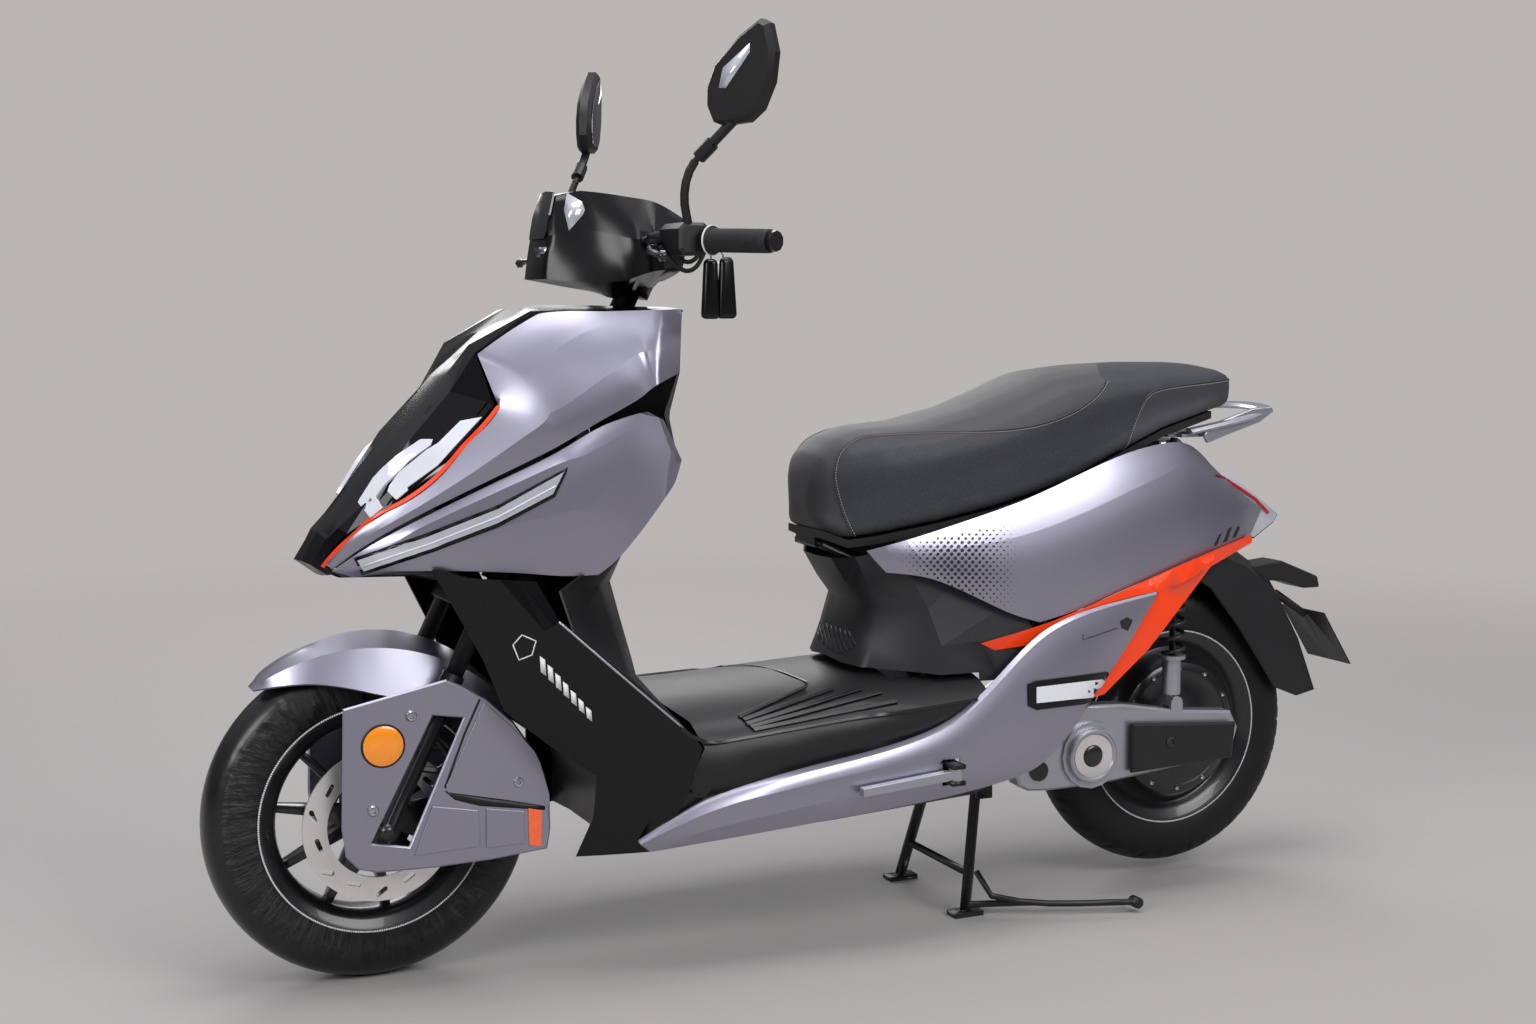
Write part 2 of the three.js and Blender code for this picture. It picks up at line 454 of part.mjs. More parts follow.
const fairingShares = [
  [[0.744, 0.880, 0.209], [0.671, 0.940, 0.265], [0.539, 0.953, 0.301], [0.372, 0.953, 0.345], [0.269, 0.930, 0.471], [0.188, 0.865, 0.507], [0.094, 0.840, 0.527]],
  [[0.744, 0.900, 0.206], [0.671, 0.970, 0.260], [0.539, 1.000, 0.296], [0.372, 1.000, 0.340], [0.269, 0.970, 0.465], [0.188, 0.900, 0.503], [0.094, 0.860, 0.523]],
  [[0.743, 0.910, 0.204], [0.663, 1.005, 0.251], [0.532, 1.035, 0.284], [0.367, 1.035, 0.319], [0.265, 1.010, 0.422], [0.186, 0.940, 0.461], [0.117, 0.880, 0.479]],
  [[0.738, 0.900, 0.198], [0.655, 1.010, 0.224], [0.524, 1.045, 0.246], [0.350, 1.045, 0.261], [0.251, 1.020, 0.328], [0.200, 0.970, 0.378], [0.157, 0.900, 0.407]],
  [[0.730, 0.880, 0.189], [0.645, 0.950, 0.200], [0.511, 0.980, 0.214], [0.282, 0.980, 0.247], [0.238, 0.970, 0.287], [0.203, 0.940, 0.334], [0.186, 0.900, 0.359]],
];
const trimBandShares = [
  [[0.3224, 0.76, 0.46], [0.2396, 0.855, 0.4895], [0.1433, 0.85, 0.5316], [0.0634, 0.79, 0.5632], [-0.0067, 0.705, 0.5874], [-0.0836, 0.47, 0.6021]],
  [[0.3045, 0.77, 0.4474], [0.2358, 0.855, 0.4611], [0.0896, 0.84, 0.5253], [0.0493, 0.8, 0.5389], [0.0037, 0.72, 0.5589], [-0.0843, 0.475, 0.5884]],
];
const trimLegShares = [
  [[0.103, 0.845, 0.5389], [0.0896, 0.84, 0.5253], [0.1164, 0.86, 0.4789], [0.144, 0.87, 0.4263], [0.1619, 0.87, 0.3979], [0.1858, 0.87, 0.3589]],
  [[0.0, 0.72, 0.5684], [0.0037, 0.72, 0.5589], [0.0507, 0.815, 0.5053], [0.0791, 0.845, 0.4674], [0.1045, 0.855, 0.4316], [0.1664, 0.875, 0.3642]],
];
// Outlines in side view, as shares of wheelbase and height
const guardShares = [
  [1.0433, 0.4305], [0.9366, 0.4621], [0.9224, 0.4526], [0.894, 0.4295], [0.8657, 0.3916], [0.8448, 0.3484], [0.8328, 0.3095],
  [0.8276, 0.2737], [0.8269, 0.2232], [0.8306, 0.1947], [0.8918, 0.1874], [0.953, 0.1853], [1.0112, 0.1874], [1.0306, 0.1947],
  [1.0433, 0.2147], [1.047, 0.2568],
];
const guardSlotShares = [[0.9507, 0.4105], [0.9194, 0.4032], [0.9784, 0.2211], [1.0164, 0.2316]];
const guardPadShares = [[0.9739, 0.4126], [1.0239, 0.2821], [0.8619, 0.2989]];
const guardStrutRootShares = [[0.9597, 0.3621], [0.9985, 0.2526], [0.9701, 0.3316]];
const armShares = [
  [0.25, 0.2042], [0.2627, 0.2147], [0.2687, 0.24], [0.2552, 0.2674], [0.1731, 0.3389], [0.1194, 0.3347], [0.0784, 0.3242],
  [0.0425, 0.3158], [-0.0351, 0.3053], [-0.0463, 0.2758], [-0.0373, 0.2337], [0.0246, 0.22], [0.1485, 0.2021], [0.2231, 0.2011],
];
const armCoverShares = [[0.1134, 0.3032], [0.1134, 0.2189], [-0.0306, 0.2274], [-0.0351, 0.2884]];
const tailLightShares = [
  [0.0448, 0.7368], [0.0448, 0.7684], [0.0164, 0.7716], [-0.0358, 0.7105], [-0.0687, 0.7], [-0.1343, 0.6326], [-0.1284, 0.6189],
  [-0.0985, 0.5916], [-0.0672, 0.5968], [-0.0149, 0.6842],
];
// Mudguard stations: turn about the axle as a share of a half turn, then crown radius and side
// radius as shares of the tyre's radius, and half width as a share of the tyre's
const frontMudguardShares = [
  [0.278, 1.082, 1.073, 0.36], [0.311, 1.099, 1.03, 0.89], [0.367, 1.112, 0.953, 1.29],
  [0.433, 1.124, 0.858, 1.51], [0.511, 1.133, 0.781, 1.64], [0.6, 1.124, 0.773, 1.69],
  [0.7, 1.107, 0.858, 1.64], [0.789, 1.09, 0.966, 1.47],
];
// Rear mudguard stations, crown then side
const rearMudguardShares = [
  [[0.1955, 0.0, 0.4211], [0.1903, 0.32, 0.4158]], [[0.1604, 0.0, 0.4947], [0.1567, 0.35, 0.4863]], [[0.097, 0.0, 0.5526], [0.0955, 0.36, 0.5389]],
  [[0.0149, 0.0, 0.5853], [0.0187, 0.36, 0.5579]], [[-0.0448, 0.0, 0.5853], [-0.0373, 0.36, 0.5105]], [[-0.1045, 0.0, 0.5684], [-0.0784, 0.36, 0.4421]],
  [[-0.1604, 0.0, 0.5158], [-0.1119, 0.35, 0.3789]], [[-0.1978, 0.0, 0.4263], [-0.1418, 0.33, 0.3221]], [[-0.2284, 0.0, 0.3053], [-0.1828, 0.28, 0.3]],
];
const plateHolderShares = [[-0.2224, 0.28, 0.4463], [-0.2672, 0.28, 0.3484]];
const railShares = [
  [0.7201, 0.55, 0.2295], [0.5224, 0.55, 0.2295], [0.3358, 0.55, 0.2295], [0.2873, 0.465, 0.2316], [0.2373, 0.43, 0.2347],
];
const rearRailShares = [
  [0.2403, 0.43, 0.24], [0.2627, 0.45, 0.3474], [0.2276, 0.45, 0.4632], [0.153, 0.435, 0.5474], [0.0448, 0.41, 0.6105], [-0.0075, 0.31, 0.6611],
];
const downTubeShares = [[0.8194, 0.0, 0.6737], [0.7851, 0.0, 0.5684], [0.7552, 0.0, 0.4421], [0.7328, 0.0, 0.3368], [0.7201, 0.0, 0.2337]];
const seatPostShares = [[0.3373, 0.54, 0.2358], [0.3657, 0.475, 0.3474], [0.3993, 0.35, 0.4737], [0.4269, 0.225, 0.5895]];
const noseCarrierShares = [[0.8097, 0.0, 0.7032], [0.8806, 0.0, 0.6989], [0.9627, 0.0, 0.7116], [1.0239, 0.0, 0.7263]];
// Seat: station, underside and top along the middle, and half width
const seatShares = [
  [[0.503, 0.15, 0.68], [0.503, 0.15, 0.7116]], [[0.5, 0.24, 0.6611], [0.5, 0.24, 0.7389]], [[0.4903, 0.35, 0.6432], [0.4903, 0.35, 0.7653]],
  [[0.4664, 0.49, 0.6295], [0.4664, 0.49, 0.7863]], [[0.4351, 0.58, 0.6358], [0.4351, 0.58, 0.7968]], [[0.3687, 0.67, 0.6526], [0.3687, 0.67, 0.8032]],
  [[0.2963, 0.69, 0.6716], [0.2963, 0.69, 0.8263]], [[0.2425, 0.69, 0.6905], [0.2425, 0.69, 0.8537]], [[0.1933, 0.68, 0.7105], [0.1933, 0.68, 0.8811]],
  [[0.1306, 0.66, 0.7495], [0.1306, 0.66, 0.8905]], [[0.0597, 0.63, 0.7916], [0.0597, 0.63, 0.8937]], [[-0.0149, 0.58, 0.82], [-0.0149, 0.58, 0.8926]],
  [[-0.0463, 0.52, 0.8274], [-0.0463, 0.52, 0.8874]], [[-0.0552, 0.45, 0.8358], [-0.0552, 0.45, 0.8779]],
];
// Half outline of the seat's cross section, from the middle of the underside to the crown:
// share of the half width, share of the height
const seatSectionShares = [
  [0.5, 0], [0.9, 0.02], [0.97, 0.1], [0.955, 0.42], [1, 0.7], [0.93, 0.86], [0.7, 0.95], [0.35, 0.99],
];
const cowlShares = [
  [[0.7955, 0.0, 1.1642], [0.794, 0.15, 1.1621], [0.8045, 0.22, 1.1053], [0.8104, 0.225, 1.0389], [0.8164, 0.0, 1.0379]],
  [[0.7687, 0.0, 1.1705], [0.7672, 0.2, 1.1705], [0.7537, 0.36, 1.1158], [0.7761, 0.4, 1.0347], [0.7799, 0.0, 1.0263]],
  [[0.7276, 0.0, 1.1663], [0.7224, 0.4, 1.16], [0.7306, 0.59, 1.0947], [0.7351, 0.52, 1.0358], [0.7351, 0.0, 1.0126]],
  [[0.694, 0.0, 1.1558], [0.694, 0.42, 1.1537], [0.7052, 0.59, 1.1032], [0.7082, 0.59, 1.0505], [0.7052, 0.0, 1.0105]],
  [[0.6604, 0.0, 1.1347], [0.6627, 0.4, 1.1305], [0.6642, 0.52, 1.0947], [0.6679, 0.48, 1.0526], [0.6716, 0.0, 1.0263]],
];
const windscreenShares = [
  [[0.7948, 0.15, 1.1684], [0.7963, 0.0, 1.1705]], [[0.8022, 0.19, 1.1337], [0.8037, 0.0, 1.1337]], [[0.8075, 0.17, 1.0989], [0.8097, 0.0, 1.0989]],
];
const barShares = [[0.709, 0.0, 1.0979], [0.7075, 0.45, 1.0979], [0.703, 0.8, 1.0979], [0.694, 1.075, 1.0947], [0.6828, 1.25, 1.0926]];
const gripRoot = [0.6821, 1.26, 1.0926];
const gripEnd = [0.647, 1.75, 1.0895];
const podShares = [
  [0.6813, 1.0779], [0.6873, 1.0716], [0.7082, 1.0716], [0.7142, 1.08], [0.7142, 1.1095], [0.7082, 1.1179], [0.6873, 1.1179],
  [0.6813, 1.1116],
];
const stemShares = [[0.7022, 1.19, 1.1116], [0.7082, 1.21, 1.1495], [0.706, 1.235, 1.1832], [0.6993, 1.26, 1.2032]];
const mirrorPivotShare = [0.6918, 1.325, 1.2179];
// Outline of a mirror: across and up from its middle, as shares of its height
const mirrorShares = [
  [-0.21, -0.46], [0.1, -0.44], [0.26, -0.33], [0.39, -0.08], [0.43, 0.2], [0.36, 0.47], [0.26, 0.52],
  [0, 0.38], [-0.3, 0.13], [-0.4, -0.08], [-0.4, -0.26], [-0.32, -0.42],
];
const mirrorMiddleShare = [0.6634, 1.55, 1.3168];
const leverShares = [[0.7224, 0.875, 1.0842], [0.7358, 1.025, 1.0821], [0.7463, 1.25, 1.0758], [0.7537, 1.59, 1.0684]];
const grabRailShares = [
  [0.0179, 0.52, 0.7853], [-0.0075, 0.55, 0.7926], [-0.0448, 0.56, 0.8021], [-0.0821, 0.53, 0.8116], [-0.1045, 0.41, 0.8179], [-0.1164, 0.22, 0.82],
  [-0.1194, 0.0, 0.8211],
];
const buttonShare = [0.6806, 0.95, 1.0947];
const deckWellShares = [[0.3172, -0.61, 0.3158], [0.4269, 0.61, 0.4842]];
const standLeverShares = [[0.3045, 0.52, 0.0695], [0.297, 0.61, 0.0358], [0.2463, 0.76, 0.02], [0.1321, 1.02, 0.0168]];
const standStrutShares = [[0.3194, 0.545, 0.0168], [0.2463, 0.75, 0.02]];
const plateArmShares = [[-0.1761, 0.0, 0.4789], [-0.2239, 0.0, 0.4358]];
// Frame: cross tubes as half width and place, strap places, and posts to the panels
const crossShares = [
  [[0.7201, 0.55, 0.2295], 13], [[-0.0075, 0.31, 0.6611], 11], [[0.2276, 0.45, 0.4632], 9],
];
const strapShares = [0.459, 0.653, 0.366];
const middlePostShares = [
  [[0.7799, 0.0, 0.5474], [0.7179, 0.0, 0.5474]], [[-0.0075, 0.0, 0.6611], [-0.0075, 0.0, 0.5737]], [[0.2276, 0.0, 0.4632], [0.1791, 0.0, 0.4084]],
];
const sidePostShares = [
  [[0.7201, 0.3, 0.2295], [0.7201, 0.3, 0.1737]], [[0.6567, 0.55, 0.2295], [0.6567, 0.55, 0.4253]], [[0.4627, 0.55, 0.2295], [0.4627, 0.55, 0.4295]],
  [[0.75, 0.0, 0.4211], [0.75, 1.0, 0.4158]], [[0.8582, 0.0, 0.7011], [0.8582, 0.88, 0.7011]], [[0.5224, 0.55, 0.2295], [0.5224, 1.08, 0.2611]],
  [[0.2627, 0.45, 0.3474], [0.2627, 1.08, 0.3495]], [[0.153, 0.435, 0.5474], [0.153, 0.89, 0.6232]], [[0.3993, 0.35, 0.4737], [0.4687, 0.36, 0.4758]],
  [[-0.0075, 0.225, 0.6611], [-0.0075, 0.225, 0.7263]], [[0.0336, 0.395, 0.6189], [0.0299, 0.43, 0.7747]],
];
// Outline of the fork crown, as shares of its half width
const crownShares = [
  [-0.2, -0.19], [-0.2, 0.19], [0.13, 0.86], [0.2, 0.96], [0.34, 1], [0.47, 0.9], [0.47, 0.72],
  [0.25, 0.25], [0.25, -0.25], [0.47, -0.72], [0.47, -0.9], [0.34, -1], [0.2, -0.96], [0.13, -0.86],
];

const upperWingFace = surface(upperWingShares, { steps: [1, 2], sharpRows: [1], sharpColumns: [4, 5, 8] });
const lowerWingFace = surface(lowerWingShares, { steps: [1, 2], sharpRows: [1], sharpColumns: [6] });
const maskFace = surface(acrossMiddle(maskShares), { steps: [1, 1], sharpRows: [2, 9] });
const legCoverFace = surface(legCoverShares, { steps: [1, 2], sharpRows: [4] });
const legShieldFace = surface(acrossMiddle(legShieldShares), { steps: [1, 1], sharpRows: [4, 5] });
const bellyFace = surface(acrossMiddle(flipped(bellyShares)), { steps: [1, 1] });
const deckFace = surface(acrossMiddle(deckShares), { steps: [1, 1], sharpColumns: [2, 8] });
const underSeatFace = surface(acrossMiddle(underSeatShares), { steps: [1, 1] });
const sidePanelFace = surface(sidePanelShares, { steps: [1, 2] });
const fairingFace = surface(fairingShares, { steps: [1, 2], sharpRows: [1] });
const trimBandFace = surface(trimBandShares, { steps: [1, 2] });
const trimLegFace = surface(trimLegShares, { steps: [1, 1] });
const upperWingWall = leaning({ back: WING_LEAN, down: WING_LEAN / 2 });
const lowerWingWall = leaning({ back: WING_LEAN, down: WING_LEAN });
const maskWall = towards(MASK_HEART.x, MASK_HEART.z);
const legCoverWall = leaning({ back: WING_LEAN });
const legShieldWall = leaning({ back: -1, side: 0 });
const bellyWall = leaning({ back: 1, side: 0, down: -1 });
const deckWall = (p) => point(0, -p.y, DECK_HEART - p.z).setLength(SKIN);
const underSeatWall = towards(UNDER_SEAT_HEART.x, UNDER_SEAT_HEART.z);
const sidePanelWall = leaning({ down: SIDE_LEAN });
const fairingWall = leaning({ down: WING_LEAN });

const rooms = {
  upperWing: both(roomFor(upperWingFace, upperWingWall)),
  lowerWing: both(roomFor(lowerWingFace, lowerWingWall)),
  mask: [roomFor(maskFace, maskWall)],
  legShield: [roomFor(legShieldFace, legShieldWall)],
  legCover: both(roomFor(legCoverFace, legCoverWall)),
  belly: [roomFor(bellyFace, bellyWall)],
  deck: [roomFor(deckFace, deckWall)],
  sidePanel: both(roomFor(sidePanelFace, sidePanelWall)),
  fairing: both(roomFor(fairingFace, fairingWall)),
  trim: both(roomFor(trimBandFace, sidePanelWall)).concat(both(roomFor(trimLegFace, sidePanelWall))),
};

// The line of the handlebar and of its grips
const line = (shares) => shares.map(place);
const mirroredLine = (shares) => line(shares).map((p) => point(p.x, -p.y, p.z));
const inSideView = (shares) => outline(shares.map(([x, z]) => [x * WHEELBASE, z * BODY_HEIGHT]));
const barLine = line(barShares);
const barRoot = place(gripRoot);
const gripDirection = place(gripEnd).sub(barRoot).normalize();
const alongGrip = (distance) => barRoot.clone().addScaledVector(gripDirection, distance);
const gripBar = (from, to, radius, sides = 10) =>
  bar(alongGrip(from), alongGrip(to), radius, sides);
const across = (x, z, halfWidth, radius, sides) => sideways(x, z, -halfWidth, halfWidth, radius, sides);

// The steering stem and bar, with a gap all round for whatever is cut to clear them
const widened = (from, to, radius, gap) => {
  const more = to.clone().sub(from).setLength(gap);
  return bar(from.clone().sub(more), to.clone().add(more), radius + gap, 8);
};
const stem = (gap) => [
  widened(onSteering(0, 0, YOKE.bottom), onSteering(0, 0, COLUMN.stemTop), COLUMN.stemRadius, gap),
  widened(onSteering(0, 0, COLUMN.neckBottom), onSteering(0, 0, COLUMN.neckTop), COLUMN.neckRadius, gap),
  widened(onSteering(0, 0, COLUMN.neckTop), barLine[0], COLUMN.clampRadius, gap),
];
const handlebar = (gap) => [
  tube([...mirroredLine(barShares).slice(1).reverse(), ...barLine], BAR.middleRadius + gap, { sides: 8, steps: 10 }),
  ...both(gripBar(-BAR.overlap, BAR.gripLength + BAR.endLength, BAR.radius + gap)),
];
const legAt = (up, out = FORK.legSpread, forward = STEERING_TRAIL_OFFSET) => onSteering(forward, out, up);
function forkCrown() {
  const shape = new THREE.Shape(crownShares.map(([x, y]) =>
    new THREE.Vector2(x * YOKE.halfWidth, y * YOKE.halfWidth)));
  const plate = new THREE.ExtrudeGeometry(shape, {
    depth: YOKE.height - 2 * YOKE.bevel, bevelSize: YOKE.bevel, bevelThickness: YOKE.bevel,
    bevelOffset: -YOKE.bevel, bevelSegments: 1,
  });
  return steered(shifted(closed(plate), 0, 0, YOKE.bottom + YOKE.bevel));
}
const steeringColumn = joined(
  stem(0), handlebar(0), forkCrown(),
  both(bar(legAt(FORK.tubeFoot), legAt(YOKE.bottom + YOKE.height / 2), FORK.tubeRadius, 10)),
  both(gripBar(BAR.gripLength + FIT, BAR.gripLength + BAR.endLength, BAR.endRadius)),
);

const cowlGrid = surface(cowlShares, { steps: [2, 1] });
const ringFrom = (half) => [...half, ...half.slice(1, -1).reverse().map((p) => point(p.x, -p.y, p.z))];
const cowlBody = lofted(cowlGrid.map(ringFrom));
const handlebarCowl = carved(cowlBody, stem(SEAM), handlebar(SEAM));
const windscreen = carved(
  panel(surface(acrossMiddle(windscreenShares), { steps: [2, 1] }), leaning({ back: 1, side: 0 })),
  shifted(cowlBody, FIT, 0, 0),
);

const pinUp = (spot, low, high, radius, sides = 8) =>
  bar(point(spot.x, spot.y, low), point(spot.x, spot.y, high), radius, sides);
const leverLine = line(leverShares);
const leverPivot = leverLine[0];
const leverTop = leverPivot.z + LEVER.halfHeight;
const leverFoot = leverPivot.z - LEVER.halfHeight;
const stemLine = line(stemShares);
const mirrorPivot = place(mirrorPivotShare);
const mirrorAxis = mirrorPivot.clone().sub(stemLine.at(-1)).normalize();
const onMirrorAxis = (distance) => mirrorPivot.clone().addScaledVector(mirrorAxis, distance);
const buttonPlace = place(buttonShare);
const button = (fromX, toX, radius) =>
  bar(point(fromX, buttonPlace.y, buttonPlace.z), point(toX, buttonPlace.y, buttonPlace.z), radius);
const podBody = () => carved(
  joined(
    sidePlate(inSideView(podShares), POD.innerEnd, POD.outerEnd, POD.bevel),
    block(
      point(leverPivot.x - POD.lugReach, leverPivot.y - LEVER.eyeRadius, leverFoot - FIT - POD.lugWall),
      point(leverPivot.x + LEVER.eyeRadius, leverPivot.y + LEVER.eyeRadius, leverFoot - FIT),
    ),
    block(
      point(leverPivot.x - POD.lugReach, leverPivot.y - LEVER.eyeRadius, leverTop + FIT),
      point(leverPivot.x + LEVER.eyeRadius, leverPivot.y + LEVER.eyeRadius, leverTop + FIT + POD.lugWall),
    ),
    pinUp(leverPivot, leverFoot - FIT - POD.lugWall / 2, leverTop + FIT + POD.lugWall / 2, LEVER.pinRadius),
    tube(stemLine, MIRROR.stemRadius, { sides: 6, steps: 6 }),
    bar(stemLine.at(-1).clone().addScaledVector(mirrorAxis, -MIRROR.stemRadius), onMirrorAxis(MIRROR.pinReach), MIRROR.pinRadius, 8),
  ),
  handlebar(FIT),
);
const leftPod = carved(podBody(), button(buttonPlace.x - OVERRUN, buttonPlace.x + BUTTON.depth, BUTTON.radius + FIT));
const rightPod = mirrored(podBody());
const brakeLever = carved(
  joined(
    pinUp(leverPivot, leverFoot, leverTop, LEVER.eyeRadius, 8),
    ovalTube(leverLine, LEVER.bladeHalfHeight, LEVER.halfDepth, { sides: 6, steps: 6 }),
    shifted(new THREE.SphereGeometry(LEVER.ballRadius, 6, 4), ...leverLine.at(-1).toArray()),
  ),
  bore(
    point(leverPivot.x, leverPivot.y, leverFoot - OVERRUN), point(leverPivot.x, leverPivot.y, leverTop + OVERRUN),
    LEVER.pinRadius + FIT, 8,
  ),
);
const leftGrip = moved(turned([
  [BAR.radius + FIT, FIT], [BAR.flangeRadius, FIT], [BAR.flangeRadius, BAR.flangeLength],
  [BAR.gripRadius, BAR.flangeLength + BAR.flangeTaper], [BAR.gripRadius, BAR.gripLength],
  [BAR.radius + FIT, BAR.gripLength],
], BAR.gripSides), alongLine(barRoot, gripDirection));
function mirrorHead() {
  const wide = point(-MIRROR_TURN.x, MIRROR_TURN.y, 0).normalize();
  const forward = wide.clone().cross(point(0, 0, 1));
  const shape = new THREE.Shape(mirrorShares.map(([x, z]) =>
    new THREE.Vector2(x * MIRROR.height, z * MIRROR.height)));
  const shell = new THREE.ExtrudeGeometry(shape, {
    depth: MIRROR.depth - 2 * MIRROR.bevel, bevelSize: MIRROR.bevel, bevelThickness: MIRROR.bevel,
    bevelOffset: -MIRROR.bevel, bevelSegments: 1,
  });
  const matrix = new THREE.Matrix4().makeBasis(wide, point(0, 0, 1), forward)
    .setPosition(place(mirrorMiddleShare));
  const root = place(mirrorMiddleShare).addScaledVector(forward, MIRROR.depth / 4)
    .add(point(0, 0, -MIRROR.height / 3));
  return carved(
    joined(
      moved(closed(shell), matrix),
      bar(onMirrorAxis(-MIRROR.cupReach), onMirrorAxis(MIRROR.cupReach), MIRROR.cupRadius, 10),
      bar(onMirrorAxis(MIRROR.cupReach - MIRROR.pinRadius), root, MIRROR.neckRadius, 8),
    ),
    bore(onMirrorAxis(-MIRROR.cupReach - OVERRUN), onMirrorAxis(MIRROR.pinReach + FIT), MIRROR.pinRadius + FIT, 8),
  );
}

// Front wheel end: sliding legs, wheel, disc, caliper, mudguard and side guards
function mudguardFace(stations, steps) {
  const rows = stations.map(({ crown, side }) => {
    const shoulder = crown.clone().lerp(side, MUDGUARD.shoulderDrop).setY(MUDGUARD.shoulder * side.y);
    return [side, shoulder, crown, ...[shoulder, side].map((p) => point(p.x, -p.y, p.z))];
  });
  return smoothGrid(rows, { steps });
}
const aroundFront = (turn, radius, y) => point(
  WHEELBASE + radius * TYRE.radius * Math.cos(turn * Math.PI), y,
  FRONT_AXLE_Z + radius * TYRE.radius * Math.sin(turn * Math.PI),
);
const frontMudguardFace = mudguardFace(frontMudguardShares.map(([turn, crown, side, halfWidth]) => ({
  crown: aroundFront(turn, crown, 0), side: aroundFront(turn, side, halfWidth * TYRE.halfWidth),
})), [2, 1]);
const rearMudguardFace = mudguardFace(rearMudguardShares.map((station) => {
  const [crown, side] = station.map(place);
  return { crown, side };
}), [1, 1]);
const frontMudguardWall = towards(WHEELBASE, FRONT_AXLE_Z, MUDGUARD.sideWeight);
const rearMudguardWall = towards(0, REAR_AXLE_Z, MUDGUARD.sideWeight);

const guardInner = GUARD.outerFace - GUARD.wall;
const guardPads = guardPadShares.map(([x, z]) => [x * WHEELBASE, z * BODY_HEIGHT]);
const guardRoots = guardStrutRootShares.map(([x, z]) => [x * WHEELBASE, z * BODY_HEIGHT]);
const leftLeg = carved(
  joined(
    bar(legAt(-FORK.sliderFoot), legAt(FORK.sliderTop), FORK.sliderRadius, 10),
    sideways(
      WHEELBASE, FRONT_AXLE_Z, FORK.legSpread - FORK.sliderRadius, FORK.legSpread + FORK.sliderRadius / 2,
      FORK.footRadius, 10,
    ),
    sideways(WHEELBASE, FRONT_AXLE_Z, FORK.legSpread, GUARD.outerFace + GUARD.wall, AXLE.nutRadius, 6),
    guardPads.map(([x, z], i) => bar(
      point(guardRoots[i][0], FORK.legSpread, guardRoots[i][1]),
      point(x, FORK.legSpread + FORK.stayRadius, z), FORK.stayRadius, 4,
    )),
    guardPads.map(([x, z]) => sideways(x, z, FORK.legSpread, guardInner - FIT, FORK.stayRadius, 6)),
    carved(
      bar(legAt(FORK.stayHeight), legAt(FORK.stayHeight, FORK.stayEnd), FORK.stayRadius, 6),
      snugRoomFor(frontMudguardFace, frontMudguardWall),
    ),
  ),
  bore(legAt(FORK.boreFoot), legAt(FORK.sliderTop + OVERRUN), FORK.tubeRadius + FIT, 10),
);
const caliperLug = steered(block(
  point(CALIPER.backX + CALIPER.length + FIT, CALIPER.outerY - CALIPER.lugWidth, CALIPER.foot + CALIPER.lugInset),
  point(STEERING_TRAIL_OFFSET, CALIPER.outerY, CALIPER.foot + CALIPER.height - CALIPER.lugInset),
));
const forkLowers = joined(
  both(leftLeg), caliperLug, across(WHEELBASE, FRONT_AXLE_Z, FORK.legSpread, AXLE.radius, 10),
);
const brakeCaliper = steered(carved(
  block(
    point(CALIPER.backX, CALIPER.innerY, CALIPER.foot),
    point(CALIPER.backX + CALIPER.length, CALIPER.outerY, CALIPER.foot + CALIPER.height),
  ),
  block(
    point(CALIPER.backX + CALIPER.bridge, DISC.innerFace - CALIPER.padGap, CALIPER.foot - OVERRUN),
    point(CALIPER.backX + CALIPER.length + OVERRUN, DISC.innerFace + DISC.thickness + CALIPER.padGap, CALIPER.foot + CALIPER.height + OVERRUN),
  ),
));
const frontMudguard = panel(frontMudguardFace, frontMudguardWall);
function forkGuard() {
  const outer = inSideView(guardShares);
  outer.holes.push(inSideView(guardSlotShares));
  return carved(
    sidePlate(outer, guardInner - GUARD.rim, GUARD.outerFace, GUARD.bevel),
    sidePlate(inSideView(guardShares), guardInner - GUARD.rim - OVERRUN, guardInner, 0, { inset: GUARD.wall + GUARD.bevel }),
  );
}

function tyre() {
  const bead = RIM.seatRadius + FIT;
  const outer = [
    [bead, TYRE.beadHalfWidth], [bead + TYRE.beadHeight, TYRE.beadHalfWidth],
    [TYRE.radius - TYRE.bellyDrop, TYRE.halfWidth], [TYRE.radius - TYRE.shoulderDrop, TYRE.shoulderHalfWidth],
    [TYRE.radius - TYRE.crownDrop, TYRE.crownHalfWidth],
  ];
  const inner = [
    [TYRE.radius - TYRE.bellyDrop, TYRE.halfWidth - TYRE.wall], [bead, TYRE.beadHalfWidth - TYRE.wall],
  ];
  const middle = [[TYRE.radius, 0]];
  const flipY = ([r, y]) => [r, -y];
  return turned([
    ...outer, ...middle, ...outer.map(flipY).reverse(), ...inner.map(flipY).reverse(), ...inner,
  ], WHEEL_SIDES);
}
const rimOuter = [
  [RIM.flangeRadius, RIM.flangeHalfWidth], [RIM.flangeRadius, RIM.flangeHalfWidth - RIM.flangeWall],
  [RIM.seatRadius, RIM.flangeHalfWidth - RIM.flangeWall],
  [RIM.seatRadius - RIM.wellDepth, RIM.wellHalfWidth],
];
const rimInner = [
  [RIM.seatRadius - RIM.wellDepth - RIM.skin, RIM.wellHalfWidth],
  [RIM.seatRadius - RIM.skin, RIM.slopeHalfWidth], [RIM.seatRadius - RIM.lipDepth, RIM.flangeHalfWidth],
];
const mirrorHalf = (half) => half.map(([r, y]) => [r, -y]).reverse();
const rimRing = turned([...rimOuter, ...mirrorHalf(rimOuter), ...mirrorHalf(rimInner), ...rimInner], WHEEL_SIDES);
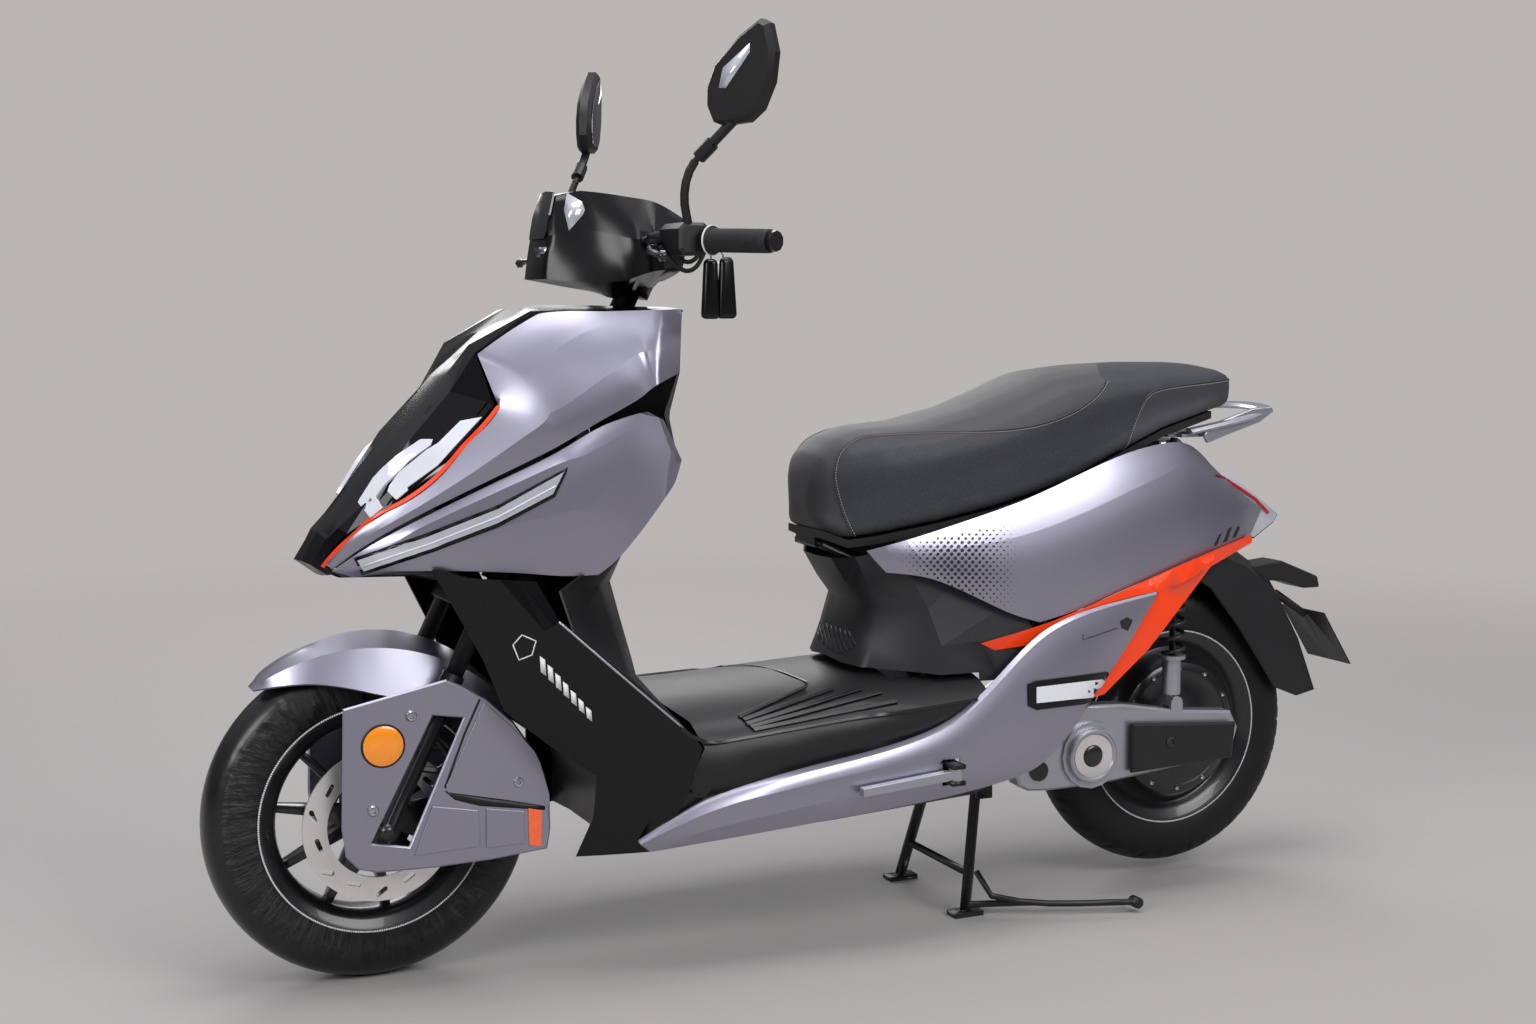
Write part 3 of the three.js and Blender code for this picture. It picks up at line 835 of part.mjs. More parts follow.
function spoke(turn) {
  const rootRadius = (FRONT_HUB.radius + AXLE.radius) / 2;
  const tipRadius = RIM.seatRadius - RIM.wellDepth - RIM.skin / 2;
  const section = (radius, halfWidth, halfDepth) => [
    [-halfWidth, -halfDepth], [halfWidth, -halfDepth], [halfWidth, halfDepth], [-halfWidth, halfDepth],
  ].map(([x, y]) => point(x, y, radius));
  return moved(lofted([
    section(rootRadius, FRONT_HUB.spokeRootHalfWidth, FRONT_HUB.spokeDepth),
    section(tipRadius, FRONT_HUB.spokeHalfWidth, FRONT_HUB.spokeTipDepth),
  ]), new THREE.Matrix4().makeRotationY(turn));
}
const spokes = Array.from({ length: FRONT_HUB.spokes }, (_, i) => spoke(i * 2 * Math.PI / FRONT_HUB.spokes));
const hubProfile = [
  [AXLE.radius + FIT, FRONT_HUB.discBossEnd], [FRONT_HUB.bossRadius, FRONT_HUB.discBossEnd],
  [FRONT_HUB.bossRadius, FRONT_HUB.halfWidth], [FRONT_HUB.radius, FRONT_HUB.halfWidth],
  [FRONT_HUB.radius, -FRONT_HUB.halfWidth], [FRONT_HUB.bossRadius, -FRONT_HUB.halfWidth],
  [FRONT_HUB.bossRadius, -FRONT_HUB.discBossEnd], [AXLE.radius + FIT, -FRONT_HUB.discBossEnd],
];
const atFrontAxle = (geometry) => shifted(geometry, WHEELBASE, 0, FRONT_AXLE_Z);
const atRearAxle = (geometry) => shifted(geometry, 0, 0, REAR_AXLE_Z);
const frontRim = atFrontAxle(joined(rimRing, turned(hubProfile, 10), spokes));
function discPlate() {
  const arc = (radius, from, to, steps) => Array.from({ length: steps + 1 }, (_, i) => {
    const turn = THREE.MathUtils.lerp(from, to, i / steps);
    return new THREE.Vector2(radius * Math.cos(turn), radius * Math.sin(turn));
  });
  const shape = new THREE.Shape(arc(DISC.radius, 0, 2 * Math.PI, WHEEL_SIDES).slice(1));
  shape.holes.push(new THREE.Path(arc(DISC.boreRadius, 0, 2 * Math.PI, DISC.boreSides).slice(1)));
  for (let i = 0; i < DISC.windows; i += 1) {
    const turn = i * 2 * Math.PI / DISC.windows;
    const [from, to] = [turn - DISC.windowHalfTurn, turn + DISC.windowHalfTurn];
    shape.holes.push(new THREE.Path([
      ...arc(DISC.ringInner, from, to, DISC.windowSteps), ...arc(DISC.carrierRadius, to, from, DISC.windowSteps),
    ]));
  }
  for (let i = 0; i < DISC.slots; i += 1) {
    const turn = i * 2 * Math.PI / DISC.slots;
    const middle = arc(DISC.slotCircle, turn, turn, 1)[0];
    const slot = arc(1, 0, 2 * Math.PI, DISC.slotSides).slice(1).map((corner) => new THREE.Vector2(
      corner.x * DISC.slotLength / 2, corner.y * DISC.slotWidth / 2,
    ).rotateAround(new THREE.Vector2(), turn + (i % 2 ? DISC.slotTilt : -DISC.slotTilt)).add(middle));
    shape.holes.push(new THREE.Path(slot));
  }
  return shape;
}
const brakeDisc = atFrontAxle(sidePlate(discPlate(), DISC.innerFace, DISC.innerFace + DISC.thickness));

// Rear wheel with its motor
const motorHalf = [
  [AXLE.radius + FIT, MOTOR.bossEnd], [MOTOR.bossRadius, MOTOR.bossEnd],
  [MOTOR.bossRadius, MOTOR.coverHalfWidth], [MOTOR.coverRadius, MOTOR.coverHalfWidth],
  [MOTOR.radius, MOTOR.webHalfWidth],
  [RIM.seatRadius - RIM.skin - RIM.lipDepth, MOTOR.webHalfWidth],
  [RIM.seatRadius - RIM.lipDepth, RIM.flangeHalfWidth], ...rimOuter.slice(0, -1),
];
const hubMotor = atRearAxle(turned([...motorHalf, ...mirrorHalf(motorHalf)], WHEEL_SIDES));

// Swinging arm and shock absorbers
const armBody = sidePlate(inSideView(armShares), SWINGARM.innerFace, SWINGARM.innerFace + SWINGARM.wall, SWINGARM.bevel);
const armOuter = SWINGARM.innerFace + SWINGARM.wall;
const shockLug = (fromY, toY) => joined(
  block(
    point(SHOCK.x - SHOCK.lugHalfWidth, fromY, SHOCK.mountZ - 2 * SHOCK.eyeRadius),
    point(SHOCK.x + SHOCK.lugHalfWidth, toY, SHOCK.mountZ),
  ),
  sideways(SHOCK.x, SHOCK.mountZ, fromY, toY, SHOCK.lugHalfWidth, 10),
);
const swingarm = carved(
  joined(
    both(armBody),
    both(shockLug(SWINGARM.innerFace, SHOCK.y - SHOCK.eyeHalfWidth - FIT)),
    both(shockLug(SHOCK.y + SHOCK.eyeHalfWidth + FIT, armOuter)),
    both(sideways(SHOCK.x, SHOCK.mountZ, SWINGARM.innerFace, armOuter, SHOCK.pinRadius, 8)),
    across(SWINGARM.braceX, SWINGARM.braceZ, SWINGARM.innerFace + FIT, SWINGARM.braceRadius, 10),
    across(0, REAR_AXLE_Z, SWINGARM.innerFace + FIT, AXLE.radius, 10),
    sideways(SWINGARM.capX, SWINGARM.capZ, armOuter - FIT, armOuter + SWINGARM.capHeight, SWINGARM.capRadius, 16),
    sideways(SWINGARM.capX, SWINGARM.capZ, armOuter, armOuter + 2 * SWINGARM.capHeight - FIT, SWINGARM.capRadius - SWINGARM.ringWidth, 12),
    both(sideways(0, REAR_AXLE_Z, armOuter - FIT, armOuter + AXLE.washer, AXLE.nutRadius, 6)),
  ),
  across(SWINGARM.pivotX, SWINGARM.pivotZ, armOuter + OVERRUN, SWINGARM.pivotRadius + 2 * FIT, 12),
);
const armCover = sidePlate(
  inSideView(armCoverShares), armOuter + AXLE.washer + FIT, armOuter + AXLE.washer + ARM_COVER.thickness, ARM_COVER.bevel,
);
function helix() {
  const steps = SHOCK.coils * COIL_STEPS;
  const low = SHOCK.seatZ + SHOCK.wireRadius + FIT;
  const high = SHOCK.capZ - SHOCK.wireRadius - FIT;
  const centres = Array.from({ length: steps + 1 }, (_, i) => {
    const turn = 2 * Math.PI * i / COIL_STEPS;
    return point(
      SHOCK.x + SHOCK.coilRadius * Math.cos(turn), SHOCK.y + SHOCK.coilRadius * Math.sin(turn),
      THREE.MathUtils.lerp(low, high, i / steps),
    );
  });
  const ring = (p) => Array.from({ length: COIL_SIDES }, (_, i) => {
    const turn = 2 * Math.PI * i / COIL_SIDES;
    const outward = point(p.x - SHOCK.x, p.y - SHOCK.y, 0).normalize();
    return p.clone().addScaledVector(outward, SHOCK.wireRadius * Math.cos(turn))
      .add(point(0, 0, SHOCK.wireRadius * Math.sin(turn)));
  });
  const rings = centres.map(ring);
  let leastGap = Infinity;
  for (let i = 0; i + COIL_STEPS <= steps; i += 1) {
    for (const a of rings[i]) {
      for (const b of rings[i + COIL_STEPS]) leastGap = Math.min(leastGap, a.distanceTo(b));
    }
  }
  console.log('Least gap between the spring coils, mm:', leastGap.toFixed(2));
  return lofted(rings);
}
const shockSpring = helix();
const shockAt = (low, high, radius, sides = 16) =>
  bar(point(SHOCK.x, SHOCK.y, low), point(SHOCK.x, SHOCK.y, high), radius, sides);
const shockEye = (z) => carved(
  sideways(SHOCK.x, z, SHOCK.y - SHOCK.eyeHalfWidth, SHOCK.y + SHOCK.eyeHalfWidth, SHOCK.eyeRadius, 10),
  bore(
    point(SHOCK.x, SHOCK.y - SHOCK.eyeHalfWidth - OVERRUN, z), point(SHOCK.x, SHOCK.y + SHOCK.eyeHalfWidth + OVERRUN, z),
    SHOCK.pinRadius + FIT, 8,
  ),
);
const shockUpper = joined(
  shockEye(SHOCK.topZ), shockAt(SHOCK.capZ, SHOCK.capZ + SHOCK.capHeight, SHOCK.capRadius, 14),
  shockAt(SHOCK.rodFoot, SHOCK.capZ + SHOCK.wireRadius, SHOCK.rodRadius, 8),
);
const shockLower = joined(
  shockEye(SHOCK.mountZ),
  carved(
    joined(
      shockAt(SHOCK.mountZ + SHOCK.pinRadius + FIT, SHOCK.bodyFoot + FIT, SHOCK.neckRadius, 8),
      shockAt(SHOCK.bodyFoot, SHOCK.bodyTop, SHOCK.bodyRadius, 12),
      shockAt(SHOCK.seatZ - SHOCK.seatHeight, SHOCK.seatZ, SHOCK.capRadius, 14),
    ),
    shockAt(SHOCK.boreFoot, SHOCK.bodyTop + OVERRUN, SHOCK.boreRadius, 10),
    bore(
      point(SHOCK.x, SHOCK.y - SHOCK.bodyRadius, SHOCK.mountZ), point(SHOCK.x, SHOCK.y + SHOCK.bodyRadius, SHOCK.mountZ),
      SHOCK.pinRadius + FIT, 8,
    ),
  ),
);

// Frame
const pairOfTubes = (shares, radius, steps) =>
  [line(shares), mirroredLine(shares)].map((points) => tube(points, radius, { sides: 6, steps }));
const posts = (pairs, radius = FRAME.postRadius) => pairs.map(([from, to]) => bar(place(from), place(to), radius, 4));
const postPairs = (pairs, radius) => both(joined(posts(pairs, radius)));
const pegPlace = point(PEG.pivotX, PEG.pivotY, PEG.pivotZ);
const pegEar = (low, high) => block(
  point(PEG.pivotX - PEG.eyeRadius, FRAME.railY + FRAME.postRadius, low),
  point(PEG.pivotX + PEG.eyeRadius, PEG.pivotY + PEG.eyeRadius, high),
);
const earGap = PEG.eyeHalfHeight + FIT;
const pegBracket = joined(
  pegEar(PEG.pivotZ - earGap - PEG.earWall, PEG.pivotZ - earGap),
  pegEar(PEG.pivotZ + earGap, PEG.pivotZ + earGap + PEG.earWall),
  pinUp(pegPlace, PEG.pivotZ - earGap - PEG.earWall / 2, PEG.pivotZ + earGap + PEG.earWall / 2, PEG.pinRadius),
  block(
    point(PEG.pivotX - PEG.eyeRadius, FRAME.railY - FRAME.postRadius, FRAME.railZ),
    point(PEG.pivotX + PEG.eyeRadius, FRAME.railY + 2 * FRAME.postRadius, PEG.pivotZ + earGap + PEG.earWall),
  ),
);
const strapAt = (x) => block(
  point(x - FRAME.strapHalfWidth, -FRAME.railY, FRAME.strapTop - FRAME.strapWall),
  point(x + FRAME.strapHalfWidth, FRAME.railY, FRAME.strapTop),
);
const standLug = block(
  point(STAND.pivotX - STAND.tubeRadius, STAND.tubeHalfWidth + FIT, STAND.pivotZ - STAND.tubeRadius),
  point(STAND.pivotX + STAND.tubeRadius, STAND.tubeHalfWidth + STAND.lugWall, FRAME.railZ),
);
const hingeLug = bar(
  place(seatPostShares.at(-1)), point(SEAT.hingeX, place(seatPostShares.at(-1)).y, SEAT.hingeZ), SEAT.eyeRadius, 10,
);
const tailLightBody = sidePlate(inSideView(tailLightShares), -TAIL.halfWidth, TAIL.halfWidth, TAIL.bevel);
const panelRooms = [
  ...both(roomFor(upperWingFace, upperWingWall, FIT)), ...both(roomFor(lowerWingFace, lowerWingWall, FIT)),
  roomFor(maskFace, maskWall, FIT), roomFor(legShieldFace, legShieldWall, FIT),
  ...both(roomFor(legCoverFace, legCoverWall, FIT)), roomFor(bellyFace, bellyWall, FIT),
  roomFor(deckFace, deckWall, FIT), roomFor(underSeatFace, underSeatWall, FIT),
  ...both(roomFor(sidePanelFace, sidePanelWall, FIT)), ...both(roomFor(fairingFace, fairingWall, FIT)),
  snugRoomFor(rearMudguardFace, rearMudguardWall),
];
const panelPosts = carved(
  joined(
    posts(middlePostShares), postPairs(sidePostShares),
    tube(line(noseCarrierShares), FRAME.postRadius, { sides: 4, steps: 6 }),
  ),
  panelRooms, shifted(tailLightBody, 0, 0, -FIT),
);
const mainFrame = largest(carved(
  joined(
    bar(onSteering(0, 0, HEAD_TUBE.bottom), onSteering(0, 0, HEAD_TUBE.top), HEAD_TUBE.radius, 12),
    tube(line(downTubeShares), FRAME.downTubeRadius, { sides: 8, steps: 6 }),
    pairOfTubes(railShares, FRAME.tubeRadius, 8), pairOfTubes(rearRailShares, FRAME.rearTubeRadius, 8),
    pairOfTubes(seatPostShares, FRAME.rearTubeRadius, 4),
    crossShares.map(([[x, y, z], radius]) => across(x * WHEELBASE, z * BODY_HEIGHT, y * BODY_HALF_WIDTH, radius, 6)),
    across(SWINGARM.pivotX, SWINGARM.pivotZ, SWINGARM.innerFace - RUNNING, SWINGARM.tubeRadius, 12),
    across(SWINGARM.pivotX, SWINGARM.pivotZ, armOuter + RUNNING, SWINGARM.pivotRadius, 12),
    both(sideways(SWINGARM.pivotX, SWINGARM.pivotZ, armOuter + FIT, armOuter + RUNNING + FIT, SWINGARM.boltRadius, 12)),
    both(sideways(SHOCK.x, SHOCK.topZ, FRAME.shockPinRoot, SHOCK.y + SHOCK.eyeHalfWidth + FIT, SHOCK.pinRadius, 8)),
    both(pegBracket), strapShares.map((share) => strapAt(share * WHEELBASE)), both(standLug),
    across(STAND.pivotX, STAND.pivotZ, STAND.tubeHalfWidth + STAND.lugWall, STAND.boltRadius, 10),
    both(hingeLug), across(SEAT.hingeX, SEAT.hingeZ, place(seatPostShares.at(-1)).y, SEAT.pinRadius, 8),
    panelPosts,
  ),
  bore(
    onSteering(0, 0, HEAD_TUBE.bottom - OVERRUN), onSteering(0, 0, HEAD_TUBE.top + 4 * OVERRUN),
    COLUMN.stemRadius + 2 * FIT, 10,
  ),
));
const batteryPack = joined(
  block(
    point(PACK.rearX, -PACK.halfWidth, FRAME.strapTop + FIT),
    point(PACK.rearX + PACK.length, PACK.halfWidth, FRAME.strapTop + PACK.height),
  ),
  block(
    point(PACK.rearX + PACK.lidInset, PACK.lidInset - PACK.halfWidth, FRAME.strapTop + PACK.height - FIT),
    point(PACK.rearX + PACK.length - PACK.lidInset, PACK.halfWidth - PACK.lidInset, FRAME.strapTop + PACK.height + PACK.lidHeight),
  ),
);
const controllerTop = FRAME.strapTop + CONTROLLER.height;
const motorController = joined(
  block(
    point(CONTROLLER.rearX, -CONTROLLER.halfWidth, FRAME.strapTop + FIT),
    point(CONTROLLER.rearX + CONTROLLER.length, CONTROLLER.halfWidth, controllerTop),
  ),
  Array.from({ length: CONTROLLER.fins }, (_, i) => {
    const spacing = (2 * CONTROLLER.halfWidth - CONTROLLER.finWall) / (CONTROLLER.fins - 1);
    const y = -CONTROLLER.halfWidth + i * spacing;
    return block(
      point(CONTROLLER.rearX, y, controllerTop - FIT),
      point(CONTROLLER.rearX + CONTROLLER.length, y + CONTROLLER.finWall, controllerTop + CONTROLLER.finHeight),
    );
  }),
);

// Body panels, each cut back to a seam where it meets the one laid over it
const upperWing = panel(upperWingFace, upperWingWall);
const lowerWing = carved(panel(lowerWingFace, lowerWingWall), rooms.upperWing);
const steeringHole = bore(
  onSteering(0, 0, HEAD_TUBE.top), onSteering(0, 0, COLUMN.neckBottom + 4 * OVERRUN), COLUMN.stemRadius + 2 * RUNNING, 12,
);
const frontMask = carved(panel(maskFace, maskWall), rooms.upperWing, rooms.lowerWing, steeringHole);
// The lens stands on the mask, so its back follows the mask's own facets
function headlight() {
  const rows = maskFace.slice(LENS.firstRow, LENS.lastRow + 1);
  const strip = rows.map((row) => LENS.shares.map((share) => row[0].clone().lerp(row[1], share)));
  return carved(
    between(pushed(strip, maskWall, -LENS.height / SKIN), pushed(strip, maskWall, 1)),
    between(pushed(maskFace, maskWall, -2 * FIT / SKIN), pushed(maskFace, maskWall, 2)),
    rooms.upperWing, rooms.lowerWing,
  );
}
const legCover = largest(carved(panel(legCoverFace, legCoverWall), rooms.lowerWing, rooms.fairing));
const legShield = carved(
  panel(legShieldFace, legShieldWall), rooms.mask, rooms.upperWing, rooms.lowerWing, rooms.legCover,
);
const crownHole = bore(
  onSteering(0, 0, YOKE.bottom), onSteering(0, 0, HEAD_TUBE.bottom + 2 * OVERRUN), COLUMN.stemRadius + RUNNING, 12,
);
const bellyTray = carved(panel(bellyFace, bellyWall), rooms.legCover, rooms.fairing, rooms.mask, rooms.lowerWing, crownHole);
const deckWell = (() => {
  const [low, high] = deckWellShares.map(place);
  return block(low, high);
})();
const floorBoard = carved(panel(deckFace, deckWall), rooms.legShield, rooms.legCover, rooms.fairing, deckWell);
const underSeatCover = largest(carved(
  panel(underSeatFace, underSeatWall), rooms.deck, rooms.trim, rooms.fairing, rooms.sidePanel,
));
const tailTrim = carved(joined(panel(trimBandFace, sidePanelWall), panel(trimLegFace, sidePanelWall)), rooms.fairing);
const sidePanel = carved(panel(sidePanelFace, sidePanelWall), rooms.trim);
const sideFairing = carved(
  panel(fairingFace, fairingWall),
  block(
    point(PEG.pivotX - PEG.eyeRadius - RUNNING, FRAME.railY, PEG.pivotZ - earGap - PEG.earWall - RUNNING),
    point(PEG.pivotX + PEG.eyeRadius + RUNNING, PEG.pivotY + PEG.eyeRadius, PEG.pivotZ + earGap + PEG.earWall + RUNNING),
  ),
);
const railLine = [...line(grabRailShares), ...mirroredLine(grabRailShares).reverse().slice(1)];
const grabPlate = joined(
  block(
    point(GRAB.rearX, -GRAB.halfWidth, GRAB.foot), point(GRAB.frontX, GRAB.halfWidth, GRAB.foot + GRAB.wall),
  ),
  block(
    point(GRAB.rearX, -GRAB.webHalfWidth, GRAB.foot),
    point(GRAB.webFrontX, GRAB.webHalfWidth, GRAB.foot + GRAB.webWall),
  ),
);
const grabRail = joined(ovalTube(railLine, GRAB.railHalfWidth, GRAB.railHalfHeight, { sides: 8, steps: 14 }), grabPlate);
const plateHolder = (() => {
  const corners = line(plateHolderShares);
  const rows = corners.map((p) => [p, point(p.x, 0, p.z), point(p.x, -p.y, p.z)]);
  return panel(rows, leaning({ back: -1, side: 0 }));
})();
const rearMudguard = joined(
  panel(rearMudguardFace, rearMudguardWall), plateHolder, bar(...line(plateArmShares), FRAME.postRadius, 8),
);

// Seat, hinged at its nose
const seatStations = seatShares.map(([foot, top]) => [place(foot), place(top)]);
const seatCushion = lofted(seatStations.map(([foot, top]) => {
  const height = top.z - foot.z;
  const half = seatSectionShares.map(([out, up]) => point(foot.x, out * foot.y, foot.z + up * height));
  return [
    foot.clone().setY(0), ...half, top.clone().setY(0), ...half.map((p) => point(p.x, -p.y, p.z)).reverse(),
  ];
}));
const baseSections = seatStations.slice(SEAT.firstStation, -SEAT.firstStation).map(([foot]) => {
  const top = foot.z - SEAT.baseSeam;
  const halfWidth = SEAT.baseWidthShare * foot.y;
  return [
    point(foot.x, -halfWidth, top - SEAT.baseWall), point(foot.x, halfWidth, top - SEAT.baseWall),
    point(foot.x, halfWidth, top), point(foot.x, -halfWidth, top),
  ];
});
const hingeY = place(seatPostShares.at(-1)).y;
const seatEye = joined(
  across(SEAT.hingeX, SEAT.hingeZ, SEAT.eyeHalfWidth, SEAT.eyeRadius, 10),
  block(
    point(SEAT.hingeX - SEAT.eyeRadius, -SEAT.eyeHalfWidth, SEAT.hingeZ),
    point(SEAT.hingeX + SEAT.eyeRadius, SEAT.eyeHalfWidth, SEAT.hingeZ + SEAT.eyeRadius + RUNNING),
  ),
);
const seatBase = carved(
  joined(carved(lofted(baseSections), both(bar(
    place(seatPostShares.at(-1)), point(SEAT.hingeX, hingeY, SEAT.hingeZ), SEAT.eyeRadius + RUNNING, 8,
  )), both(sideways(SEAT.hingeX, SEAT.hingeZ, hingeY - SEAT.eyeRadius - RUNNING, hingeY + SEAT.eyeRadius + RUNNING, SEAT.eyeRadius + RUNNING, 8))), seatEye),
  bore(
    point(SEAT.hingeX, -BODY_HALF_WIDTH, SEAT.hingeZ), point(SEAT.hingeX, BODY_HALF_WIDTH, SEAT.hingeZ),
    SEAT.pinRadius + FIT, 8,
  ),
);

// Centre stand and footpegs
const standFoot = point(STAND.footX, STAND.footY, STAND.footHeight);
const standSide = joined(
  bar(point(STAND.pivotX, STAND.legTop, STAND.pivotZ), standFoot, STAND.legRadius, 8),
  block(
    point(STAND.footX - STAND.footHalfLength, STAND.footY - STAND.footHalfWidth, 0),
    point(STAND.footX + STAND.footHalfLength, STAND.footY + STAND.footHalfWidth, STAND.footHeight),
  ),
);
const lever = line(standLeverShares);
const toe = lever.at(-1);
const centreStand = carved(
  joined(
    both(standSide), across(STAND.pivotX, STAND.pivotZ, STAND.tubeHalfWidth, STAND.tubeRadius, 12),
    across(STAND.braceX, STAND.braceZ, STAND.footY - STAND.legRadius, STAND.braceRadius, 6),
    tube(lever, STAND.leverRadius, { sides: 6, steps: 6 }),
    bar(place(standStrutShares[0]), place(standStrutShares[1]), STAND.leverRadius, 6),
    sideways(toe.x, toe.z, toe.y - STAND.toeRadius, toe.y + STAND.toeRadius, STAND.toeRadius, 10),
  ),
  across(STAND.pivotX, STAND.pivotZ, STAND.tubeHalfWidth + OVERRUN, STAND.boltRadius + 2 * FIT, 10),
);
const footpeg = carved(
  joined(
    pinUp(pegPlace, PEG.pivotZ - PEG.eyeHalfHeight, PEG.pivotZ + PEG.eyeHalfHeight, PEG.eyeRadius, 12),
    lofted([0, 1].map((share) => {
      const x = PEG.pivotX + share * PEG.length;
      const z = PEG.pivotZ - share * PEG.tipDrop;
      const halfHeight = THREE.MathUtils.lerp(PEG.rootHalfHeight, PEG.tipHalfHeight, share);
      return [
        point(x, PEG.pivotY - PEG.halfWidth, z - halfHeight), point(x, PEG.pivotY + PEG.halfWidth, z - halfHeight),
        point(x, PEG.pivotY + PEG.halfWidth, z + halfHeight), point(x, PEG.pivotY - PEG.halfWidth, z + halfHeight),
      ];
    })),
  ),
  bore(
    point(PEG.pivotX, PEG.pivotY, PEG.pivotZ - 2 * PEG.eyeHalfHeight),
    point(PEG.pivotX, PEG.pivotY, PEG.pivotZ + 2 * PEG.eyeHalfHeight), PEG.pinRadius + FIT, 8,
  ),
);
const hornButton = button(buttonPlace.x - BUTTON.reach, buttonPlace.x + BUTTON.depth - BUTTON.travel, BUTTON.radius);

// Finishes
const finish = (color, roughness, metalness = 0) => new THREE.MeshStandardMaterial({ color, roughness, metalness });
const finishes = {
  greyPaint: finish('#7d7784', 0.35, 0.6),
  blackGloss: finish('#0d0d0f', 0.15),
  blackSatin: finish('#1b1b1e', 0.5),
  blackSteel: finish('#17181a', 0.45, 0.6),
  orange: finish('#ff4a12', 0.35),
  seat: finish('#2c2c2f', 0.85),
  rubber: finish('#19191a', 0.8),
  aluminium: finish('#b9bbbf', 0.4, 0.8),
  steel: finish('#c3c5c8', 0.35, 0.9),
  clearLens: finish('#dfe3e8', 0.1),
  redLens: finish('#8c1f24', 0.2),
  smokedScreen: finish('#141518', 0.1),
};
const scooter = new THREE.Group();
function add(name, geometry, material) {
  const mesh = new THREE.Mesh(geometry, material);
  mesh.name = name;
  scooter.add(mesh);
}
function addPair(name, geometry, material) {
  add(`${name}_L`, geometry, material);
  add(`${name}_R`, mirrored(geometry), material);
}
add('main_frame', mainFrame, finishes.blackSteel);
add('battery_pack', batteryPack, finishes.blackSatin);
add('motor_controller', motorController, finishes.aluminium);
addPair('upper_wing', upperWing, finishes.greyPaint);
addPair('lower_wing', lowerWing, finishes.greyPaint);
add('front_mask', frontMask, finishes.blackGloss);
addPair('headlight', headlight(), finishes.clearLens);
addPair('leg_cover', legCover, finishes.blackGloss);
add('leg_shield', legShield, finishes.blackSatin);
add('floor_board', floorBoard, finishes.blackSatin);
add('under_seat_cover', underSeatCover, finishes.blackSatin);
addPair('side_panel', sidePanel, finishes.greyPaint);
addPair('side_fairing', sideFairing, finishes.greyPaint);
addPair('tail_trim', tailTrim, finishes.orange);
add('belly_tray', bellyTray, finishes.blackSatin);
add('tail_light', tailLightBody, finishes.redLens);
add('grab_rail', grabRail, finishes.aluminium);
add('rear_mudguard', rearMudguard, finishes.blackSatin);
add('seat_base', seatBase, finishes.blackSatin);
add('seat_cushion', seatCushion, finishes.seat);
add('steering_column', steeringColumn, finishes.blackSteel);
add('handlebar_cowl', handlebarCowl, finishes.blackGloss);
add('windscreen', windscreen, finishes.smokedScreen);
add('switch_pod_L', leftPod, finishes.blackSatin);
add('switch_pod_R', rightPod, finishes.blackSatin);
add('grip_L', leftGrip, finishes.rubber);
add('throttle_grip', mirrored(leftGrip), finishes.rubber);
addPair('brake_lever', brakeLever, finishes.blackSteel);
addPair('mirror_head', mirrorHead(), finishes.blackGloss);
add('horn_button', hornButton, finishes.rubber);
add('fork_lowers', forkLowers, finishes.blackSteel);
add('front_mudguard', frontMudguard, finishes.greyPaint);
addPair('fork_guard', forkGuard(), finishes.greyPaint);
add('brake_caliper', brakeCaliper, finishes.steel);
add('brake_disc', brakeDisc, finishes.steel);
add('front_rim', frontRim, finishes.blackSteel);
add('front_tyre', atFrontAxle(tyre()), finishes.rubber);
add('swingarm', swingarm, finishes.aluminium);
add('arm_cover', armCover, finishes.blackSatin);
add('hub_motor', hubMotor, finishes.blackSteel);
add('rear_tyre', atRearAxle(tyre()), finishes.rubber);
addPair('shock_spring', shockSpring, finishes.blackSteel);
addPair('shock_upper', shockUpper, finishes.blackSteel);
addPair('shock_lower', shockLower, finishes.aluminium);
add('centre_stand', centreStand, finishes.blackSteel);
addPair('footpeg', footpeg, finishes.aluminium);

// The origin is the middle of the length, on the ground
const extent = new THREE.Box3().setFromObject(scooter);
const lengthShift = -(extent.min.x + extent.max.x) / 2;
for (const mesh of scooter.children) mesh.geometry = shifted(mesh.geometry, lengthShift, 0, 0);
console.log('Length shift, mm:', lengthShift.toFixed(3));
export default scooter;
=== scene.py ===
import json
import math

import bmesh
import bpy
from mathutils import Matrix, Vector, noise
from mathutils.bvhtree import BVHTree


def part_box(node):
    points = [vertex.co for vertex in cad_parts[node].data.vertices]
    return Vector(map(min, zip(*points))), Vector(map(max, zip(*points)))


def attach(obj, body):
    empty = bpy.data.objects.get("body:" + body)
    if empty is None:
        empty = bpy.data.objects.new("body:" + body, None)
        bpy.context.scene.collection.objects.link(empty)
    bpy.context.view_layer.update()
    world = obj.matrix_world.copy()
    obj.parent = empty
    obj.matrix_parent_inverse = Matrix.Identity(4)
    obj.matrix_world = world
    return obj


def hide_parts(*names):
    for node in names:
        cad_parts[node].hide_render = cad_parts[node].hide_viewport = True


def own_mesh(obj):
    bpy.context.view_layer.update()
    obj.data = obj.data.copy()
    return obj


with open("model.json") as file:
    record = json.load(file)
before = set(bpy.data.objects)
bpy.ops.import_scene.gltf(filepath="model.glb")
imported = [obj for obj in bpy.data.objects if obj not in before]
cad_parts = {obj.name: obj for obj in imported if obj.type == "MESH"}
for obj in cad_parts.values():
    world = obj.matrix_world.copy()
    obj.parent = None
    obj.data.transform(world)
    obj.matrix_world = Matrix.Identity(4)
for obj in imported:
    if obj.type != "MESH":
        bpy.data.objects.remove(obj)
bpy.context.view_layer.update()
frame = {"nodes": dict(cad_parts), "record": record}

RECORD = frame["record"]
MM = 0.001
MERGED = 0.01 * MM
